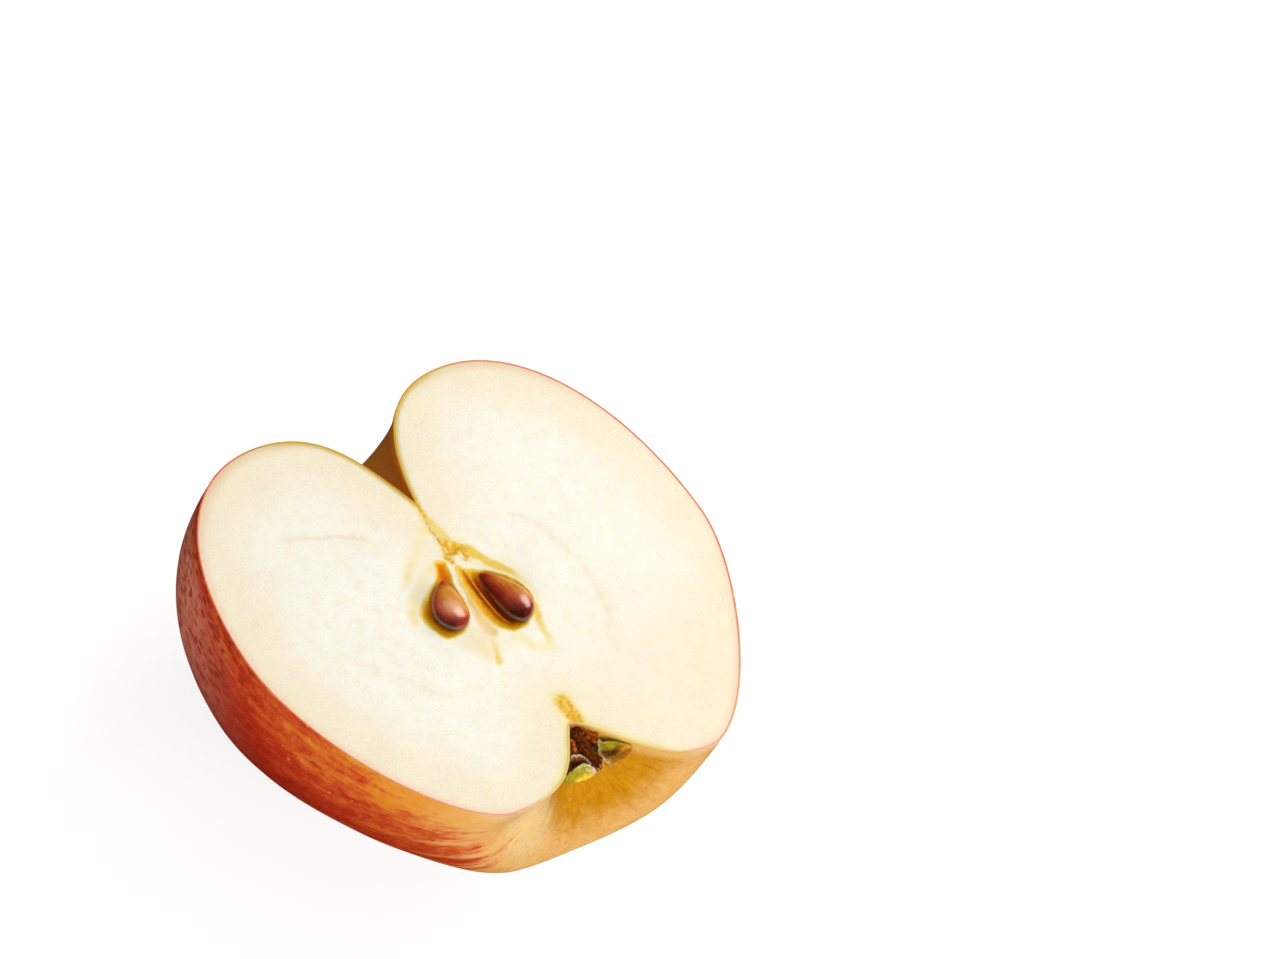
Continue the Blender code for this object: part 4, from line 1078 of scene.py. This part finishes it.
def lining_piece():
    """A strip of the core's papery lining that has come loose between the right pip and the pocket's wall."""
    path = smooth_path([(0.15, 4.75, -0.10), (0.35, 3.6, -0.30), (0.42, 2.2, -0.45), (0.50, 0.6, -0.55), (0.72, -1.3, -0.60), (1.10, -3.2, -0.60), (1.75, -5.0, -0.55), (2.6, -6.1, -0.5)], per=8)
    n = len(path)
    t = np.linspace(0, 1, n)
    wide = 0.12 + 0.75 * np.sin(math.pi * np.clip(t * 1.02, 0, 1)) ** 0.7
    across = np.linspace(-0.5, 0.5, 9)
    rows = []
    for k in range(n):
        lean = np.array([0.55, 0.12, -0.95])
        curl = 0.16 * np.cos(across * math.pi) * np.array([-0.8, 0, -0.2])[:, None]
        rows.append(path[k] + lean * (across * wide[k])[:, None] * 1.5 + curl.T + 0.05 * np.sin(7 * t[k] + 3 * across)[:, None])
    top = np.array(rows).reshape(-1, 3)
    low = top + np.array([0.13, 0.02, -0.03])
    ids = np.arange(n * 9).reshape(n, 9)
    N = n * 9
    faces = []
    for k in range(n - 1):
        for c in range(8):
            faces.append([int(v) for v in (ids[k, c], ids[k + 1, c], ids[k + 1, c + 1], ids[k, c + 1])])
            faces.append([int(v) + N for v in (ids[k, c], ids[k, c + 1], ids[k + 1, c + 1], ids[k + 1, c])])
        faces.append([int(ids[k, 0]), int(ids[k, 0]) + N, int(ids[k + 1, 0]) + N, int(ids[k + 1, 0])])
        faces.append([int(ids[k, 8]), int(ids[k + 1, 8]), int(ids[k + 1, 8]) + N, int(ids[k, 8]) + N])
    for c in range(8):
        faces.append([int(ids[0, c]), int(ids[0, c + 1]), int(ids[0, c + 1]) + N, int(ids[0, c]) + N])
        faces.append([int(ids[-1, c]), int(ids[-1, c]) + N, int(ids[-1, c + 1]) + N, int(ids[-1, c + 1])])
    obj = make_piece("core_lining", np.vstack([top, low]), faces, sharp=70)
    attribute(obj, "apple_mm", np.vstack([top, low]))
    attribute(obj, "t", np.tile(np.repeat(t, 9), 2))
    return obj


# ================================================================ pieces
def join_frame(piece, node, look):
    piece.data.materials.append(look)
    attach(piece, "root")
    if node:
        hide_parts(node)
    return piece


flesh = join_frame(flesh_piece(), "apple_half", flesh_look())
skin = join_frame(skin_piece(), "apple_half", skin_look())

pip_finish = pip_look()
join_frame(pip_piece("left", (-5.67, -0.21, 0.40), 8.31, 5.39, 3.4, 17.4, 5.0, 4.0, 0.995, 1.58, -0.128), "pip_left", pip_finish)
join_frame(pip_piece("right", (3.47, -2.05, 0.40), 9.19, 4.86, 3.5, -2.6, 4.0, -6.0, 0.771, 2.45, 0.249), "pip_right", pip_finish)
join_frame(lining_piece(), None, lining_look())

leaf = sepal_look()
far_rim = [(-3.1, -26.2, -0.75), (-1.96, -25.7, -0.8), (-1.21, -25.75, -0.9), (-0.43, -26.06, -1.1), (0.1, -26.6, -1.4), (0.6, -27.3, -1.9)]
floor_far = [(-3.9, -27.0, -2.2), (-2.9, -26.9, -2.9), (-1.9, -26.9, -3.1), (-1.0, -27.0, -3.1), (-0.2, -27.3, -2.9), (0.6, -27.8, -2.5)]
floor_near = [(-4.58, -28.05, -2.0), (-3.64, -28.36, -2.4), (-2.43, -28.6, -2.6), (-1.25, -28.78, -2.6), (-0.1, -28.75, -2.5), (0.75, -28.5, -2.4)]
near_rim = [(-4.7, -28.0, -1.05), (-3.47, -27.6, -1.0), (-2.18, -27.3, -1.0), (-0.95, -27.15, -1.15), (-0.25, -27.5, -1.35), (0.6, -28.1, -1.85)]
piece, x, w, at = sheet_leaf("sepal_leaf_left", [far_rim, floor_far, floor_near, near_rim], seed=2.0)
# brown in the hollow under the far rim: partly the leaf's own brown, partly painted shade
attribute(piece, "brown_and_shade", smooth(0.70, 0.60, w) * smooth(0.0, 0.05, w))
# pale hairy rim, and a thin pale band near the near rim that is a painted highlight
attribute(piece, "rim", smooth(0.90, 0.98, w) * smooth(0.25, 0.45, x) + 0.8 * smooth(0.78, 0.82, w) * smooth(0.90, 0.86, w) * smooth(0.55, 0.7, x))
attribute(piece, "ochre", 0 * w)
attribute(piece, "gild", smooth(0.84, 0.72, w) * smooth(0.2, 0.45, x) * smooth(0.60, 0.68, w))
attribute(piece, "fuzz", smooth(0.80, 0.95, x) + 0.6 * smooth(0.10, 0.0, w))
join_frame(piece, "sepal_left", leaf)
rim_right = [(3.25, -24.95, -0.95), (3.3, -25.6, -0.7), (4.05, -25.95, -0.42), (5.1, -26.6, -0.35), (6.1, -27.4, -0.4), (6.6, -28.1, -0.6), (5.44, -28.6, -1.3), (4.02, -28.6, -1.6), (2.83, -28.6, -1.7), (2.35, -27.93, -1.6), (2.45, -26.66, -1.5), (2.71, -25.6, -1.25)]
piece, radius, at = leaf_piece("sepal_leaf_right", rim_right, (4.4, -27.1, -1.2), (0.25, 0.35, -0.95), seed=7.0)
# brown in the middle of the cup: partly the leaf's own brown, partly painted shade
attribute(piece, "brown_and_shade", smooth(0.92, 0.72, radius) * smooth(6.0, 5.2, at[:, 0]) * smooth(-27.6, -27.1, at[:, 1]) * smooth(-26.2, -26.6, at[:, 1] + 0.25 * (at[:, 0] - 4.0)))
attribute(piece, "gild", 0 * radius)
attribute(piece, "ochre", np.maximum(smooth(-27.0, -27.6, at[:, 1] + 0.2 * wobble(at, 0.9, 2, 3.0)) * smooth(2.6, 3.2, at[:, 0]), smooth(5.3, 6.0, at[:, 0])))
piece.data.attributes["rim"].data.foreach_set("value", (smooth(0.72, 0.98, radius) * smooth(4.3, 3.2, at[:, 0])).astype(np.float32))
attribute(piece, "fuzz", smooth(0.72, 0.92, radius) * smooth(3.9, 3.1, at[:, 0]))
join_frame(piece, "sepal_right", leaf)
rim_back = [(0.2, -24.9, -2.9), (1.6, -24.6, -3.1), (3.1, -24.9, -2.7), (3.6, -25.6, -2.7), (3.0, -26.4, -2.9), (1.9, -26.9, -3.6), (0.7, -26.9, -3.9), (0.0, -26.0, -3.6)]
piece, radius, at = leaf_piece("sepal_leaf_back", rim_back, (1.7, -25.8, -3.3), (0.0, 0.35, -0.35), seed=11.0)
# brown over most of the back leaf, deep in the tube: partly its own brown, partly painted shade
attribute(piece, "brown_and_shade", smooth(1.0, 0.4, radius))
attribute(piece, "gild", 0 * radius)
attribute(piece, "ochre", 0 * radius)
attribute(piece, "fuzz", smooth(0.8, 1.0, radius))
join_frame(piece, "sepal_back", leaf)
join_frame(scales_piece(), None, scale_look())
join_frame(stamen_piece(), "stamens", stamen_look())

# ================================================================ floor, camera, light
floor_mesh = bpy.data.meshes.new("floor")
floor_mesh.from_pydata([(-3, -3, 0), (3, -3, 0), (3, 3, 0), (-3, 3, 0)], [], [(0, 1, 2, 3)])
floor = bpy.data.objects.new("floor", floor_mesh)
bpy.context.scene.collection.objects.link(floor)
look = Look("floor_white")
floor_mesh.materials.append(look.set(Base_Color=(0.32, 0.32, 0.32), Roughness=1.0, Specular_IOR_Level=0.0, Emission_Color=(1.0, 1.0, 1.0), Emission_Strength=0.79))
floor.visible_diffuse = floor.visible_glossy = False  # a light table: it doesn't tint the fruit standing on it

VIEW = np.array([
    [0.7490984797, -0.5520964660, 0.3661160470],
    [-0.2918016599, -0.7711533969, -0.5658394028],
    [0.5947295679, 0.3170361662, -0.7387725024],
])  # rows: the picture's right, its down, and away from the camera
camera = bpy.data.objects.new("camera", bpy.data.cameras.new("camera"))
bpy.context.scene.collection.objects.link(camera)
camera.data.sensor_width = 36.0
camera.data.lens = 150.91
camera.data.clip_start, camera.data.clip_end = 0.05, 20.0
spot = row_frame([-402.327, -225.107, 541.398])
camera.matrix_world = Matrix((
    (VIEW[0][0], -VIEW[1][0], -VIEW[2][0], spot[0]),
    (VIEW[0][1], -VIEW[1][1], -VIEW[2][1], spot[1]),
    (VIEW[0][2], -VIEW[1][2], -VIEW[2][2], spot[2]),
    (0, 0, 0, 1),
))
bpy.context.scene.camera = camera


def softbox(name, direction, distance, wide, high, watts, colour=(1, 1, 1)):
    light = bpy.data.lights.new(name, "AREA")
    light.shape, light.size, light.size_y = "RECTANGLE", wide, high
    light.energy, light.color = watts, colour
    obj = bpy.data.objects.new(name, light)
    bpy.context.scene.collection.objects.link(obj)
    d = Vector(direction).normalized()
    target = Vector((0, 0, 0.03))
    obj.location = target + d * distance
    obj.rotation_euler = (-d).to_track_quat("-Z", "Y").to_euler()
    return obj


softbox("key", (0.70, 0.13, 0.68), 0.60, 0.40, 0.38, 2.12, (1.0, 0.985, 0.96))
fill = softbox("fill", (0.22, -0.86, 0.36), 0.70, 0.34, 0.26, 2.4)
side = softbox("side", (-0.80, -0.58, 0.22), 0.80, 0.60, 0.40, 3.8, (1.0, 0.98, 0.96))
fill.visible_glossy = side.visible_glossy = False  # they lighten shadows without a shine of their own

world = bpy.data.worlds.new("white_room")
bpy.context.scene.world = world
world.cycles_visibility.glossy = False
world.use_nodes = True
tree = world.node_tree
sky = tree.nodes.new("ShaderNodeTexCoord")
parts = tree.nodes.new("ShaderNodeSeparateXYZ")
shade = tree.nodes.new("ShaderNodeValToRGB")
tree.links.new(sky.outputs["Generated"], parts.inputs[0])
lift = tree.nodes.new("ShaderNodeMapRange")
lift.inputs["From Min"].default_value, lift.inputs["From Max"].default_value = -1.0, 1.0
tree.links.new(parts.outputs["Z"], lift.inputs["Value"])
tree.links.new(lift.outputs[0], shade.inputs[0])
ring = shade.color_ramp.elements
ring[0].position, ring[0].color = 0.34, (0.10, 0.075, 0.06, 1)
ring[1].position, ring[1].color = 0.80, (0.36, 0.36, 0.37, 1)
middle = ring.new(0.56)
middle.color = (0.55, 0.54, 0.53, 1)
tree.links.new(shade.outputs[0], tree.nodes["Background"].inputs["Color"])
tree.nodes["Background"].inputs["Strength"].default_value = 1.0
bpy.context.scene.view_settings.view_transform = "Standard"
